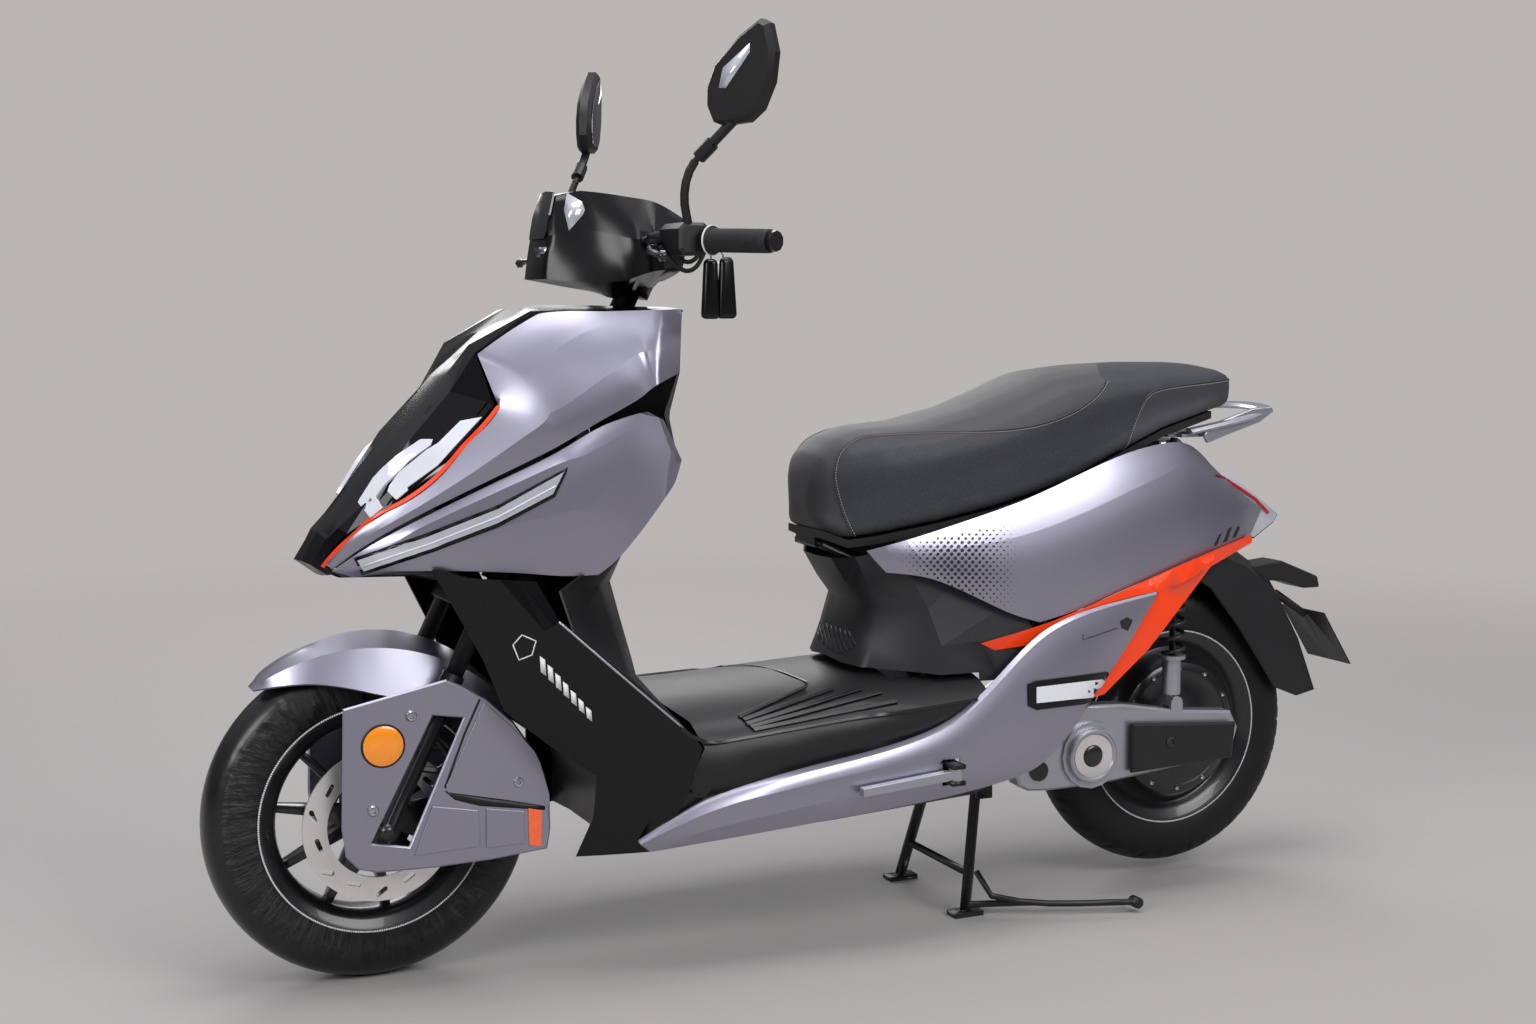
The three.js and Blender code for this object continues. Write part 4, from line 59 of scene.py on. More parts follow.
BODY_OF = {node: body for body, nodes in RECORD["behaviour"]["bodies"].items() for node in nodes}
SIDES = (("L", 1), ("R", -1))
LEFT, UP, FORWARD = Vector((0, 1, 0)), Vector((0, 0, 1)), Vector((1, 0, 0))


def middle(node):
    low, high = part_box(node)
    return (low + high) / 2


REAR_AXLE = middle("rear_tyre")
FRONT_AXLE = middle("front_tyre")


def place(x, y, z):
    """A place in mm: forward of the rear axle, out to the left, above the ground."""
    return Vector((REAR_AXLE.x + x * MM, y * MM, z * MM))


def linked(name, data):
    """A new object in the scene."""
    made = bpy.data.objects.new(name, data)
    bpy.context.scene.collection.objects.link(made)
    return made


# ---------------------------------------------------------------- camera
# Solved from the two wheels' ellipses in the photograph
CAMERA_PLACE = Vector((1.348024, 2.8016, 0.962))
CAMERA_YAW = math.radians(23.814)
CAMERA_PITCH = math.radians(6.079)
FOCAL_PIXELS = 2020.19
PHOTO_WIDTH, PHOTO_HEIGHT = 1536, 1024
SENSOR_MM = 36

ahead = Vector((
    -math.sin(CAMERA_YAW) * math.cos(CAMERA_PITCH),
    -math.cos(CAMERA_YAW) * math.cos(CAMERA_PITCH),
    -math.sin(CAMERA_PITCH),
))
across = Vector((-math.cos(CAMERA_YAW), math.sin(CAMERA_YAW), 0))
above = across.cross(ahead)

camera = linked("camera", bpy.data.cameras.new("camera"))
camera.data.sensor_fit = "HORIZONTAL"
camera.data.sensor_width = SENSOR_MM
camera.data.lens = FOCAL_PIXELS * SENSOR_MM / PHOTO_WIDTH
camera.matrix_world = Matrix.Translation(CAMERA_PLACE) @ Matrix((across, above, -ahead)).transposed().to_4x4()
bpy.context.scene.camera = camera

# Metres along a line of sight at which the place nearest to a missed surface is looked for
SEARCHED = [2 + 0.02 * i for i in range(120)]


def sight(u, v):
    """Direction in which the camera sees a pixel of the photograph."""
    right = (u - PHOTO_WIDTH / 2) / FOCAL_PIXELS
    down = (v - PHOTO_HEIGHT / 2) / FOCAL_PIXELS
    return (ahead + across * right - above * down).normalized()


def pixel(point):
    """Pixel of the photograph in which a point lies."""
    away = point - CAMERA_PLACE
    depth = away.dot(ahead)
    return (
        PHOTO_WIDTH / 2 + FOCAL_PIXELS * away.dot(across) / depth,
        PHOTO_HEIGHT / 2 - FOCAL_PIXELS * away.dot(above) / depth,
    )


trees = {}


def tree_of(nodes):
    """The surface of one or more nodes, for casting the camera's lines on to it."""
    if nodes not in trees:
        corners, faces = [], []
        for node in nodes.split():
            mesh = frame["nodes"][node].data
            faces += [[len(corners) + i for i in p.vertices] for p in mesh.polygons]
            corners += [v.co.copy() for v in mesh.vertices]
        trees[nodes] = BVHTree.FromPolygons(corners, faces)
    return trees[nodes]


def seen(tree, u, v):
    """Where the camera's line through a pixel meets a surface, or the nearest place beside it."""
    step = sight(u, v)
    hit, normal, *_ = tree.ray_cast(CAMERA_PLACE, step)
    if hit is None:
        hit, normal, *_ = min(
            (tree.find_nearest(CAMERA_PLACE + step * far) for far in SEARCHED), key=lambda found: found[3])
    if normal.dot(step) > 0:
        normal = -normal
    return hit, normal


def on_plane(u, v, y):
    """Where the camera's line through a pixel meets the upright plane y, in metres."""
    step = sight(u, v)
    return CAMERA_PLACE + step * ((y - CAMERA_PLACE.y) / step.y)


# ---------------------------------------------------------------- materials
INPUTS = {
    "metal": "Metallic", "coat": "Coat Weight", "coat_rough": "Coat Roughness", "specular": "Specular IOR Level",
    "sheen": "Sheen Weight", "clear": "Transmission Weight",
}


def linear(colour):
    channels = [int(colour[i:i + 2], 16) / 255 for i in (1, 3, 5)]
    return tuple(c / 12.92 if c <= 0.04045 else ((c + 0.055) / 1.055) ** 2.4 for c in channels) + (1,)


def add(tree, kind, sockets=(), **settings):
    """Adds a node. sockets names its inputs, each with a number, a colour or the output that it is linked to."""
    made = tree.nodes.new(kind)
    for name, value in settings.items():
        setattr(made, name, value)
    for name, value in dict(sockets).items():
        if isinstance(value, bpy.types.NodeSocket):
            tree.links.new(value, made.inputs[name])
        else:
            made.inputs[name].default_value = value
    return made


def new_material(name):
    """An empty material, and where a point lies on its object."""
    material = bpy.data.materials.new(name)
    material.use_nodes = True
    material.node_tree.nodes.clear()
    return material, add(material.node_tree, "ShaderNodeTexCoord").outputs["Object"]


def finish_of(name, colour, second=None, patch=150, rough=0.4, spread=0.06, grain=0, depth=0, **shader):
    """A material whose colour drifts to a second one in patches, with a grain of bumps; patch, grain, depth in mm."""
    material, where = new_material(name)
    tree = material.node_tree
    cloud = add(tree, "ShaderNodeTexNoise", {"Vector": where, "Scale": 1000 / patch, "Detail": 3}).outputs["Fac"]
    tint = add(tree, "ShaderNodeMix", {0: cloud, 6: linear(colour), 7: linear(second or colour)}, data_type="RGBA")
    gloss = add(tree, "ShaderNodeMapRange", {0: cloud, 3: rough - spread, 4: rough + spread})
    sockets = {"Base Color": tint.outputs[2], "Roughness": gloss.outputs[0]}
    sockets.update({INPUTS[kind]: value for kind, value in shader.items()})
    if grain:
        specks = add(tree, "ShaderNodeTexNoise", {"Vector": where, "Scale": 1000 / grain, "Detail": 2})
        bump = add(tree, "ShaderNodeBump", {"Height": specks.outputs["Fac"], "Distance": depth * MM})
        sockets["Normal"] = bump.outputs["Normal"]
    shade = add(tree, "ShaderNodeBsdfPrincipled", sockets)
    add(tree, "ShaderNodeOutputMaterial", {"Surface": shade.outputs[0]})
    return material


def shader_of(material):
    return next(n for n in material.node_tree.nodes if n.type == "BSDF_PRINCIPLED")


# Two-coat car paint: metal flakes in a lilac-grey base under a satin clear coat, glowing softly towards light
grey_paint = finish_of("metallic_basecoat_paint", "#a4a2b2", "#9c9aab", patch=240, rough=0.37, spread=0.03, grain=1.2,
                       depth=0.01, metal=0.9, coat=0.45, coat_rough=0.14)
# High-gloss ABS, moulded in a polished tool: near black with sharp reflections
black_gloss = finish_of("polished_black_abs", "#070709", "#0b0b0d", rough=0.22, spread=0.03, specular=0.35)
# Polypropylene from a spark-eroded tool: dark charcoal with an even fine grain, 0.9 mm so that it shows
black_satin = finish_of("grained_black_polypropylene", "#0d0d0f", "#121215", rough=0.46, grain=0.9, depth=0.05)
# The same plastic in a lighter charcoal, as on the panel below the seat
charcoal_satin = finish_of("grained_charcoal_polypropylene", "#1b1c20", "#212226", rough=0.48, grain=0.9, depth=0.05)
# Painted ABS trim in signal orange under a clear coat
orange_plastic = finish_of("orange_painted_abs", "#ff4406", "#f83d04", rough=0.34, coat=0.3, coat_rough=0.1)
# Powder-coated steel tube and plate: black with the slight orange peel of the powder, 3 mm waves
frame_steel = finish_of("powder_coated_black_steel", "#141416", "#1a1a1d", rough=0.34, grain=3, depth=0.05)
# Cast aluminium, painted silver: satin, with a faint casting texture of 2 mm
silver_alloy = finish_of("silver_painted_cast_aluminium", "#b4b6bd", "#a6a8b0", rough=0.33, grain=2, depth=0.02,
                         metal=0.8)
# Cast aluminium, painted black, half gloss
black_alloy = finish_of("black_painted_cast_aluminium", "#121315", "#17181b", rough=0.28, grain=2, depth=0.02, coat=0.3)
# Stainless steel brake disc, ground round the axle
disc_steel = finish_of("ground_stainless_steel", "#eceae8", "#dddbd9", patch=40, rough=0.3, spread=0.08, metal=0.8)
# Bright zinc-plated screws
bright_zinc = finish_of("bright_zinc_plated_steel", "#c4c6cc", "#b0b2ba", patch=10, rough=0.22, metal=1.0)
# Natural rubber with carbon black: matt, faintly blotched
tyre_rubber = finish_of("black_tyre_rubber", "#0c0c0d", "#131314", patch=60, rough=0.5, spread=0.1, grain=1.5,
                        depth=0.08, specular=0.3)
# Stretch film wound over the front tyre for its first ride: thin glossy polyethylene on black rubber
tyre_film = finish_of("stretch_film_on_rubber", "#0a0a0b", "#121213", patch=35, rough=0.34, spread=0.1, specular=0.4,
                      coat=0.25, coat_rough=0.2)
# Soft rubber of the grips and of the cables' jackets
grip_rubber = finish_of("soft_grip_rubber", "#1b1b1d", "#202023", rough=0.6, grain=1.4, depth=0.1)
# Clear polycarbonate lens over a bright reflector
clear_lens = finish_of("clear_polycarbonate_lens", "#c3c6d1", "#d6d8e0", patch=30, rough=0.14, metal=0.35, coat=1.0)
# Opal light guide of the daytime lamp
light_guide = finish_of("opal_light_guide", "#e6e8ef", "#d4d7e2", patch=60, rough=0.2, coat=0.8)
# Moulded acrylic: the tail lamp's red guide, the amber reflector, and the smoked screen
red_lens = finish_of("red_acrylic_lens", "#b3141b", "#c41f1c", patch=20, rough=0.16, coat=1.0, clear=0.15)
amber_lens = finish_of("amber_acrylic_reflector", "#f58a0b", "#ff9d1c", patch=6, rough=0.22, grain=2.2, depth=0.25,
                       coat=1.0)
smoked_screen = finish_of("smoked_acrylic", "#0c0d0f", "#141518", rough=0.14, coat=0.3, clear=0.1)
# Silvered mirror glass
mirror_glass = finish_of("silvered_glass", "#d9dde4", "#d3d7df", rough=0.04, spread=0.01, metal=1.0)
# Screen-printed ink, white and black; the black one also stands for the painted shade in the cooling slots
white_print = finish_of("white_printed_ink", "#e9e9ec", "#dedee2", patch=12, rough=0.42)
black_print_and_shade = finish_of("black_ink_and_painted_shade", "#1a191c", "#242226", patch=12, rough=0.45)
# Bonded polyester thread of the seams
piping = finish_of("cream_bonded_thread", "#b9b3a6", "#a59f93", patch=6, rough=0.7, grain=0.8, depth=0.1)
# Prismatic reflectors, pearl white and orange
white_reflector = finish_of("pearl_white_reflector", "#e7e8ee", "#dddee6", patch=4, rough=0.3, grain=2.4, depth=0.1,
                            coat=0.7)
orange_reflector = finish_of("orange_prismatic_reflector", "#f0521c", "#ff7a3c", patch=5, rough=0.3, grain=2.0,
                             depth=0.2, coat=0.8)

FOLD_BUMP = 6.0
FOLDED_TO, FOLDED_RIM = 214, 26


def fold_film(material, centre):
    """Adds radial folds to a wheel's film: long across the sidewall, fine round the axle."""
    tree = material.node_tree
    where = add(tree, "ShaderNodeTexCoord").outputs["Object"]
    arm = add(tree, "ShaderNodeVectorMath", {0: where, 1: centre}, operation="SUBTRACT").outputs[0]
    part = add(tree, "ShaderNodeSeparateXYZ", {"Vector": arm})
    flat = add(tree, "ShaderNodeCombineXYZ", {"X": part.outputs["X"], "Z": part.outputs["Z"]}).outputs[0]
    radius = add(tree, "ShaderNodeVectorMath", {0: flat}, operation="LENGTH").outputs["Value"]
    angle = add(tree, "ShaderNodeMath", {0: part.outputs["Z"], 1: part.outputs["X"]}, operation="ARCTAN2").outputs[0]
    lean = add(tree, "ShaderNodeMath", {0: radius, 1: 0.8, 2: angle}, operation="MULTIPLY_ADD").outputs[0]
    sheet = add(tree, "ShaderNodeCombineXYZ", {"X": lean, "Y": radius, "Z": part.outputs["Y"]}).outputs[0]
    spread = add(tree, "ShaderNodeVectorMath", {0: sheet, 1: (1, 0.9, 1)}, operation="MULTIPLY").outputs[0]
    noise_of = {"Vector": spread, "Scale": 13, "Detail": 6, "Roughness": 0.62}
    folds = add(tree, "ShaderNodeTexNoise", noise_of).outputs["Fac"]
    ridge = add(tree, "ShaderNodeMapRange", {0: folds, 1: 0.36, 2: 0.6}).outputs[0]
    reach = add(tree, "ShaderNodeMapRange", {0: radius, 1: FOLDED_TO * MM, 2: (FOLDED_TO - FOLDED_RIM) * MM}).outputs[0]
    height = add(tree, "ShaderNodeMath", {0: ridge, 1: reach}, operation="MULTIPLY").outputs[0]
    bump = add(tree, "ShaderNodeBump", {"Height": height, "Distance": FOLD_BUMP * MM}).outputs["Normal"]
    tree.links.new(bump, shader_of(material).inputs["Normal"])


def cloth_of(name, colour, second, weave, depth, **shader):
    """Coated seat cover: a second colour in specks of one weave's width, which also stand up as bumps."""
    material = finish_of(name, colour, second, patch=90, rough=0.62, spread=0.05, **shader)
    tree = material.node_tree
    where = add(tree, "ShaderNodeTexCoord").outputs["Object"]
    cells = add(tree, "ShaderNodeTexVoronoi", {"Vector": where, "Scale": 1000 / weave})
    bump = add(tree, "ShaderNodeBump", {"Height": cells.outputs["Distance"], "Distance": depth * MM}, invert=True)
    shade = shader_of(material)
    tree.links.new(bump.outputs["Normal"], shade.inputs["Normal"])
    base = shade.inputs["Base Color"].links[0].from_socket
    dots = add(tree, "ShaderNodeMapRange", {0: cells.outputs["Distance"], 1: 0.2, 2: 0.7})
    mix = add(tree, "ShaderNodeMix", {0: dots.outputs[0], 6: base, 7: linear(second)}, data_type="RGBA")
    tree.links.new(mix.outputs[2], shade.inputs["Base Color"])
    return material


# Calf-grain vinyl on the rider's place: grey, with a 2.2 mm pebble grain
seat_top = cloth_of("pebbled_grey_vinyl", "#3c3b3e", "#353437", 2.2, 0.12, sheen=0.1)
# Carbon-woven side cover: blue-black with pale specks 2.6 mm apart
seat_side = cloth_of("speckled_charcoal_vinyl", "#1b1c20", "#303238", 2.6, 0.18)
# Plain grey vinyl at the seat's end, with a fine 1.6 mm grain
seat_rear = cloth_of("matt_grey_vinyl", "#3e3f43", "#38393d", 1.6, 0.08)


# ---------------------------------------------------------------- pieces
def mesh_of(name, form):
    """A mesh of a bmesh, which it uses up."""
    mesh = bpy.data.meshes.new(name)
    form.to_mesh(mesh)
    form.free()
    return mesh


def worked_out(piece):
    """The mesh that an object's modifiers or curve settings give."""
    return bpy.data.meshes.new_from_object(piece.evaluated_get(bpy.context.evaluated_depsgraph_get()))


def shown(name, form, material, body="chassis", node=None, smooth=30, bevel=0, wall=0):
    """Makes a finished piece that rides on a body, or stands for a CAD node on that one's body; bevel, wall in mm."""
    mesh = mesh_of(name, form)
    mesh.polygons.foreach_set("use_smooth", [True] * len(mesh.polygons))
    mesh.set_sharp_from_angle(angle=math.radians(smooth))
    piece = linked(name, mesh)
    for one in material if isinstance(material, list) else [material]:
        mesh.materials.append(one)
    if wall:
        grown = piece.modifiers.new("wall", "SOLIDIFY")
        grown.thickness, grown.offset = wall * MM, 1
    if bevel:
        worn = piece.modifiers.new("edges", "BEVEL")
        worn.width, worn.segments, worn.harden_normals = bevel * MM, 2, True
        worn.angle_limit = math.radians(smooth)
    if node:
        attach(piece, BODY_OF[node])
        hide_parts(node)
    else:
        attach(piece, body)
    return piece


def merged_copy(node):
    """A CAD node's surface with its corners joined."""
    form = bmesh.new()
    form.from_mesh(frame["nodes"][node].data)
    bmesh.ops.remove_doubles(form, verts=form.verts, dist=MERGED)
    bmesh.ops.dissolve_degenerate(form, edges=form.edges, dist=MERGED)
    return form


def whole_faces(form, degrees):
    """Joins the triangles that lie in one plane to a tolerance."""
    bmesh.ops.dissolve_limit(form, angle_limit=math.radians(degrees), verts=form.verts, edges=form.edges)


def dressed(nodes, material, smooth=28, bevel=0):
    """CAD nodes in their real material, with their edges worn round where they have a bevel. Gives the last."""
    for node in nodes.split():
        form = merged_copy(node)
        if bevel:
            whole_faces(form, 0.6)
        piece = shown(node + "_finished", form, material, node=node, smooth=smooth, bevel=bevel)
    return piece


def rounded(nodes, material, crease=26):
    """Panels whose broad faces are curved between their drawn points, with their folds and rims kept sharp."""
    fold = math.radians(crease)
    for node in nodes.split():
        form = merged_copy(node)
        keep = form.edges.layers.float.new("crease_edge")
        for edge in form.edges:
            if len(edge.link_faces) != 2 or edge.calc_face_angle(0) > fold:
                edge[keep] = 1
        bmesh.ops.join_triangles(
            form, faces=form.faces, angle_face_threshold=fold, angle_shape_threshold=math.radians(60))
        piece = shown(node + "_finished", form, material, node=node, smooth=crease)
        finer = piece.modifiers.new("finer", "SUBSURF")
        finer.levels = finer.render_levels = 2


rounded("upper_wing_L upper_wing_R lower_wing_L lower_wing_R side_panel_L side_panel_R side_fairing_L side_fairing_R "
        "front_mudguard", grey_paint)
dressed("fork_guard_L fork_guard_R", grey_paint, 24, 2.3)
dressed("front_mask leg_cover_L leg_cover_R headlight_L headlight_R", black_gloss, 14)
rounded("handlebar_cowl", black_gloss, 34)
dressed("leg_shield belly_tray rear_mudguard floor_board", black_satin, 24)
dressed("under_seat_cover", charcoal_satin, 24)
dressed("tail_trim_L tail_trim_R", orange_plastic, 24)
dressed("switch_pod_L switch_pod_R mirror_head_L mirror_head_R seat_base battery_pack arm_cover", black_satin, 28, 0.8)
dressed("main_frame steering_column centre_stand", frame_steel, 40)
dressed("swingarm grab_rail footpeg_L footpeg_R shock_lower_L shock_lower_R motor_controller", silver_alloy, 35, 0.8)
dressed("fork_lowers brake_caliper brake_lever_L brake_lever_R shock_upper_L shock_upper_R", black_alloy, 40)
# The tail light's faces that look down are given black gloss, which makes it dark on its underside
for face in dressed("tail_light", [clear_lens, black_gloss]).data.polygons:
    face.material_index = 1 if face.normal.z < -0.3 else 0
dressed("windscreen", smoked_screen)
dressed("horn_button", grip_rubber)


def spun(centre, section, steps=96, axis=LEFT, whole=True):
    """A round part: its section, as radius and place along the axle in mm, spun about the axle."""
    form = bmesh.new()
    side = UP if abs(axis.z) < 0.9 else FORWARD
    side = (side - axis * side.dot(axis)).normalized()
    corners = [form.verts.new(centre + side * (r * MM) + axis * (a * MM)) for r, a in section]
    for a, b in zip(corners, corners[1:] + (corners[:1] if whole else [])):
        form.edges.new((a, b))
    bmesh.ops.spin(
        form, geom=form.verts[:] + form.edges[:], cent=centre, axis=axis, dvec=(0, 0, 0),
        angle=math.tau, steps=steps, use_merge=True, use_duplicate=False,
    )
    bmesh.ops.remove_doubles(form, verts=form.verts, dist=MERGED)
    bmesh.ops.recalc_face_normals(form, faces=form.faces)
    return form


def opposite(section):
    """A section's half on the other side of the wheel's middle plane, drawn backwards."""
    return [(r, -a) for r, a in reversed(section)]


def joined(*forms):
    """Several bmeshes in one."""
    whole = bmesh.new()
    for form in forms:
        held = mesh_of("held", form)
        whole.from_mesh(held)
        bpy.data.meshes.remove(held)
    return whole


def turn(form, verts, angle, axis):
    """Turns corners about an axis through the origin."""
    bmesh.ops.rotate(form, verts=verts, cent=(0, 0, 0), matrix=Matrix.Rotation(angle, 3, axis))


def softened(form, width, segments=2):
    """Rounds every edge of a form; width in mm."""
    bmesh.ops.bevel(
        form, geom=form.edges[:], offset=width * MM, segments=segments, profile=0.5, affect="EDGES", material=-1)


def pulled(form, faces, thick):
    """Extrudes faces to a plate along Y; thick in mm."""
    grown = bmesh.ops.extrude_face_region(form, geom=faces)["geom"]
    bmesh.ops.translate(form, verts=[g for g in grown if isinstance(g, bmesh.types.BMVert)], vec=LEFT * thick * MM)


def tapered(form, root, tip):
    """Adds an upright bar to a form. Each end is its width, thickness and height in mm. Gives the corners."""
    corners = bmesh.ops.create_cube(form, size=1)["verts"]
    for vert in corners:
        wide, thick, height = tip if vert.co.z > 0 else root
        vert.co = Vector((vert.co.x * wide, vert.co.y * thick, height)) * MM
    return corners


# ---------------------------------------------------------------- wheels
TYRE_HALF = [
    (232.9, 0), (232.6, 7), (231.6, 14.5), (229, 23), (225, 30.5), (219, 37), (212, 41.2), (204, 43.8), (195, 45),
    (185, 45), (175, 44), (165, 41.2), (156, 37.5), (150.6, 35.2), (149.6, 30), (149.6, 26), (153, 27), (162, 32),
    (180, 37), (200, 37), (214, 31), (222, 18), (224, 0),
]


def tyre(centre, depth_at):
    """A tyre pressed in by a depth in mm that goes with the angle, the radius and the place along the axle."""
    form = spun(centre, TYRE_HALF + opposite(TYRE_HALF)[1:-1], 300)
    form.normal_update()
    moves = []
    for vert in form.verts:
        x, y, z = (vert.co - centre) / MM
        moves.append(vert.normal * (-depth_at(math.atan2(z, x), math.hypot(x, z), y) * MM))
    for vert, move in zip(form.verts, moves):
        vert.co += move
    return form


FOLD_DEPTH = 3.4
FOLD_MIDDLE, FOLD_REACH, FOLD_FROM = 188, 34, 20


def fold_at(angle, radius, reach):
    """Radial creases: ridged noise, fine round the wheel and long across it."""
    share = max(0, 1 - ((radius - FOLD_MIDDLE) / FOLD_REACH) ** 2) if abs(reach) > FOLD_FROM else 0
    side = 7 if reach > 0 else 23
    coarse = Vector((math.cos(angle) * 17, math.sin(angle) * 17 + radius * 0.012, side))
    fine = Vector((math.cos(angle) * 37 + radius * 0.02, math.sin(angle) * 37, side + 3))
    crease = abs(noise.noise(coarse)) + 0.5 * abs(noise.noise(fine))
    return FOLD_DEPTH * share * (1 - min(1, 2.6 * crease)) ** 2


GROOVE_DEPTH = 3.0
GROOVES, GROOVE_LEAN, GROOVE_SHARE = 46, 0.022, 0.07
TREAD_FROM, TREAD_EDGES = 205, (8, 42)


def groove_at(angle, radius, reach):
    """Tread grooves that lean back from the middle, by turns left and right."""
    if radius <= TREAD_FROM or not TREAD_EDGES[0] < abs(reach) < TREAD_EDGES[1]:
        return 0
    along = angle / math.tau * GROOVES + abs(reach) * GROOVE_LEAN + (0.5 if reach > 0 else 0)
    return GROOVE_DEPTH * min(1, 1.5 * max(0, 1 - abs(along % 1 - 0.5) / GROOVE_SHARE))


fold_film(tyre_film, FRONT_AXLE)
shown("front_tyre_wrapped", tyre(FRONT_AXLE, fold_at), tyre_film, node="front_tyre", smooth=60)
shown("rear_tyre_treaded", tyre(REAR_AXLE, groove_at), tyre_rubber, node="rear_tyre", smooth=50)

# Front rim: a drop-centre ring, ten straight spokes, a barrel hub and the boss that carries the disc
RIM_OUTSIDE = [(163, 41.5), (163, 38.4), (158, 36.6), (150.2, 36), (150.2, 27), (140.2, 14)]
RIM_INSIDE = [(134.2, 10), (135, 22), (140, 31), (147, 35), (155, 38.4), (160, 41)]
HUB_HALF = [(14, 40), (20, 40), (33, 34), (34, 20), (31, 6)]
SPOKES = 10
SPOKE_ROOT, SPOKE_TIP = (17, 40, 27), (11, 22, 137.5)
ring = spun(FRONT_AXLE, RIM_OUTSIDE + opposite(RIM_OUTSIDE) + opposite(RIM_INSIDE) + RIM_INSIDE, 144)
hub = spun(FRONT_AXLE, HUB_HALF + opposite(HUB_HALF), 64)
boss = spun(FRONT_AXLE, [(12, 40), (20, 40), (20, 70.4), (12, 70.4)], 48)
spokes = bmesh.new()
for count in range(SPOKES):
    turn(spokes, tapered(spokes, SPOKE_ROOT, SPOKE_TIP), math.tau * (count + 0.25) / SPOKES, "Y")
bmesh.ops.translate(spokes, verts=spokes.verts, vec=FRONT_AXLE)
softened(spokes, 2.5)
shown("front_wheel_casting", joined(ring, hub, boss, spokes), black_alloy, node="front_rim", smooth=35)

DASHES, DASH_SHARE = 300, 0.72
STRIPE_FROM, STRIPE_TO, STRIPE_OUT = 160.2, 162.6, 41.6


def pinstripe(name, centre, body):
    """Reflective tape in short dashes round a rim's lip."""
    form = bmesh.new()
    half = math.pi / DASHES * DASH_SHARE
    for sign in (1, -1):
        for index in range(DASHES):
            angle = math.tau * index / DASHES
            corners = [form.verts.new(centre + Vector((
                math.cos(angle + a) * r * MM, sign * STRIPE_OUT * MM, math.sin(angle + a) * r * MM)))
                for a, r in ((-half, STRIPE_FROM), (half, STRIPE_FROM), (half, STRIPE_TO), (-half, STRIPE_TO))]
            form.faces.new(corners if sign < 0 else corners[::-1])
    form.normal_update()
    for face in form.faces:
        if face.normal.y * face.calc_center_median().y < 0:
            face.normal_flip()
    shown(name, form, white_print, body, wall=0.3)


pinstripe("front_rim_pinstripe", FRONT_AXLE, "front_wheel")
pinstripe("rear_rim_pinstripe", REAR_AXLE, "rear_wheel")


def cut_out(base, cutter):
    """A bmesh with another taken out of it."""
    made = [linked("cut", mesh_of("cut", form)) for form in (base, cutter)]
    taken = made[0].modifiers.new("cut", "BOOLEAN")
    taken.object, taken.operation, taken.solver = made[1], "DIFFERENCE", "EXACT"
    result = bmesh.new()
    result.from_mesh(worked_out(made[0]))
    for one in made:
        bpy.data.objects.remove(one)
    return result


# Brake disc: a ground ring with fourteen slots, by turns near and far and leaning both ways, on a black carrier
SLOTS = 14
SLOT_RADIUS, SLOT_STRETCH = 3.4, 6.4
SLOT_PLACES = ((88, 0.15), (95, 0.6))
SLOT_DEPTH = 14
DISC_BORE = 74
disc_low, disc_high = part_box("brake_disc")
DISC_BACK, DISC_FACE = disc_low.y / MM, disc_high.y / MM
DISC_RADIUS = (disc_high.x - disc_low.x) / 2 / MM
ring = spun(FRONT_AXLE, [
    (DISC_BORE, DISC_BACK), (DISC_RADIUS, DISC_BACK), (DISC_RADIUS, DISC_FACE), (DISC_BORE, DISC_FACE)], 128)
slots = bmesh.new()
for count in range(SLOTS):
    out, lean = SLOT_PLACES[count % 2]
    made = bmesh.ops.create_circle(slots, cap_ends=True, segments=20, radius=SLOT_RADIUS * MM)["verts"]
    for vert in made:
        vert.co.x += (SLOT_STRETCH if vert.co.x > 0 else -SLOT_STRETCH) * MM
    turn(slots, made, math.pi / 2, "X")
    turn(slots, made, lean, "Y")
    bmesh.ops.translate(slots, verts=made, vec=UP * out * MM)
    turn(slots, made, math.tau * count / SLOTS, "Y")
pulled(slots, slots.faces[:], SLOT_DEPTH)
bmesh.ops.translate(
    slots, verts=slots.verts, vec=Vector((FRONT_AXLE.x, (DISC_FACE - SLOT_DEPTH / 2) * MM, FRONT_AXLE.z)))
bmesh.ops.recalc_face_normals(slots, faces=slots.faces)
shown("slotted_brake_ring", cut_out(ring, slots), disc_steel, node="brake_disc")

CARRIER_ARMS = 5
CARRIER_ROOT, CARRIER_TIP = (34, 3.4, 30), (20, 3.4, 76.5)
carrier = bmesh.new()
for count in range(CARRIER_ARMS):
    turn(carrier, tapered(carrier, CARRIER_ROOT, CARRIER_TIP), math.tau * count / CARRIER_ARMS, "Y")
bmesh.ops.translate(carrier, verts=carrier.verts, vec=Vector((FRONT_AXLE.x, (DISC_BACK + 2) * MM, FRONT_AXLE.z)))
softened(carrier, 0.8)
core = spun(Vector((FRONT_AXLE.x, 0, FRONT_AXLE.z)),
            [(14, DISC_BACK), (44, DISC_BACK), (44, DISC_FACE - 0.4), (14, DISC_FACE - 0.4)], 64)
shown("brake_disc_carrier", joined(carrier, core), black_alloy, "front_wheel", smooth=35)

# Hub motor: a drum with a dished cover, its ring of screws, and the rim that is cast with it
DRUM_HALF = [
    (163, 41.5), (160, 41), (155, 38.4), (147, 35), (140, 31), (136, 26), (133, 24), (124, 30), (113, 46), (110, 54),
    (104, 57), (97, 58), (95, 56.5), (60, 56.5), (52, 60), (40, 62), (30, 70), (24, 75), (12, 75.5),
]
shown("hub_motor_drum", spun(REAR_AXLE, DRUM_HALF + opposite(DRUM_HALF), 144), black_alloy, node="hub_motor")


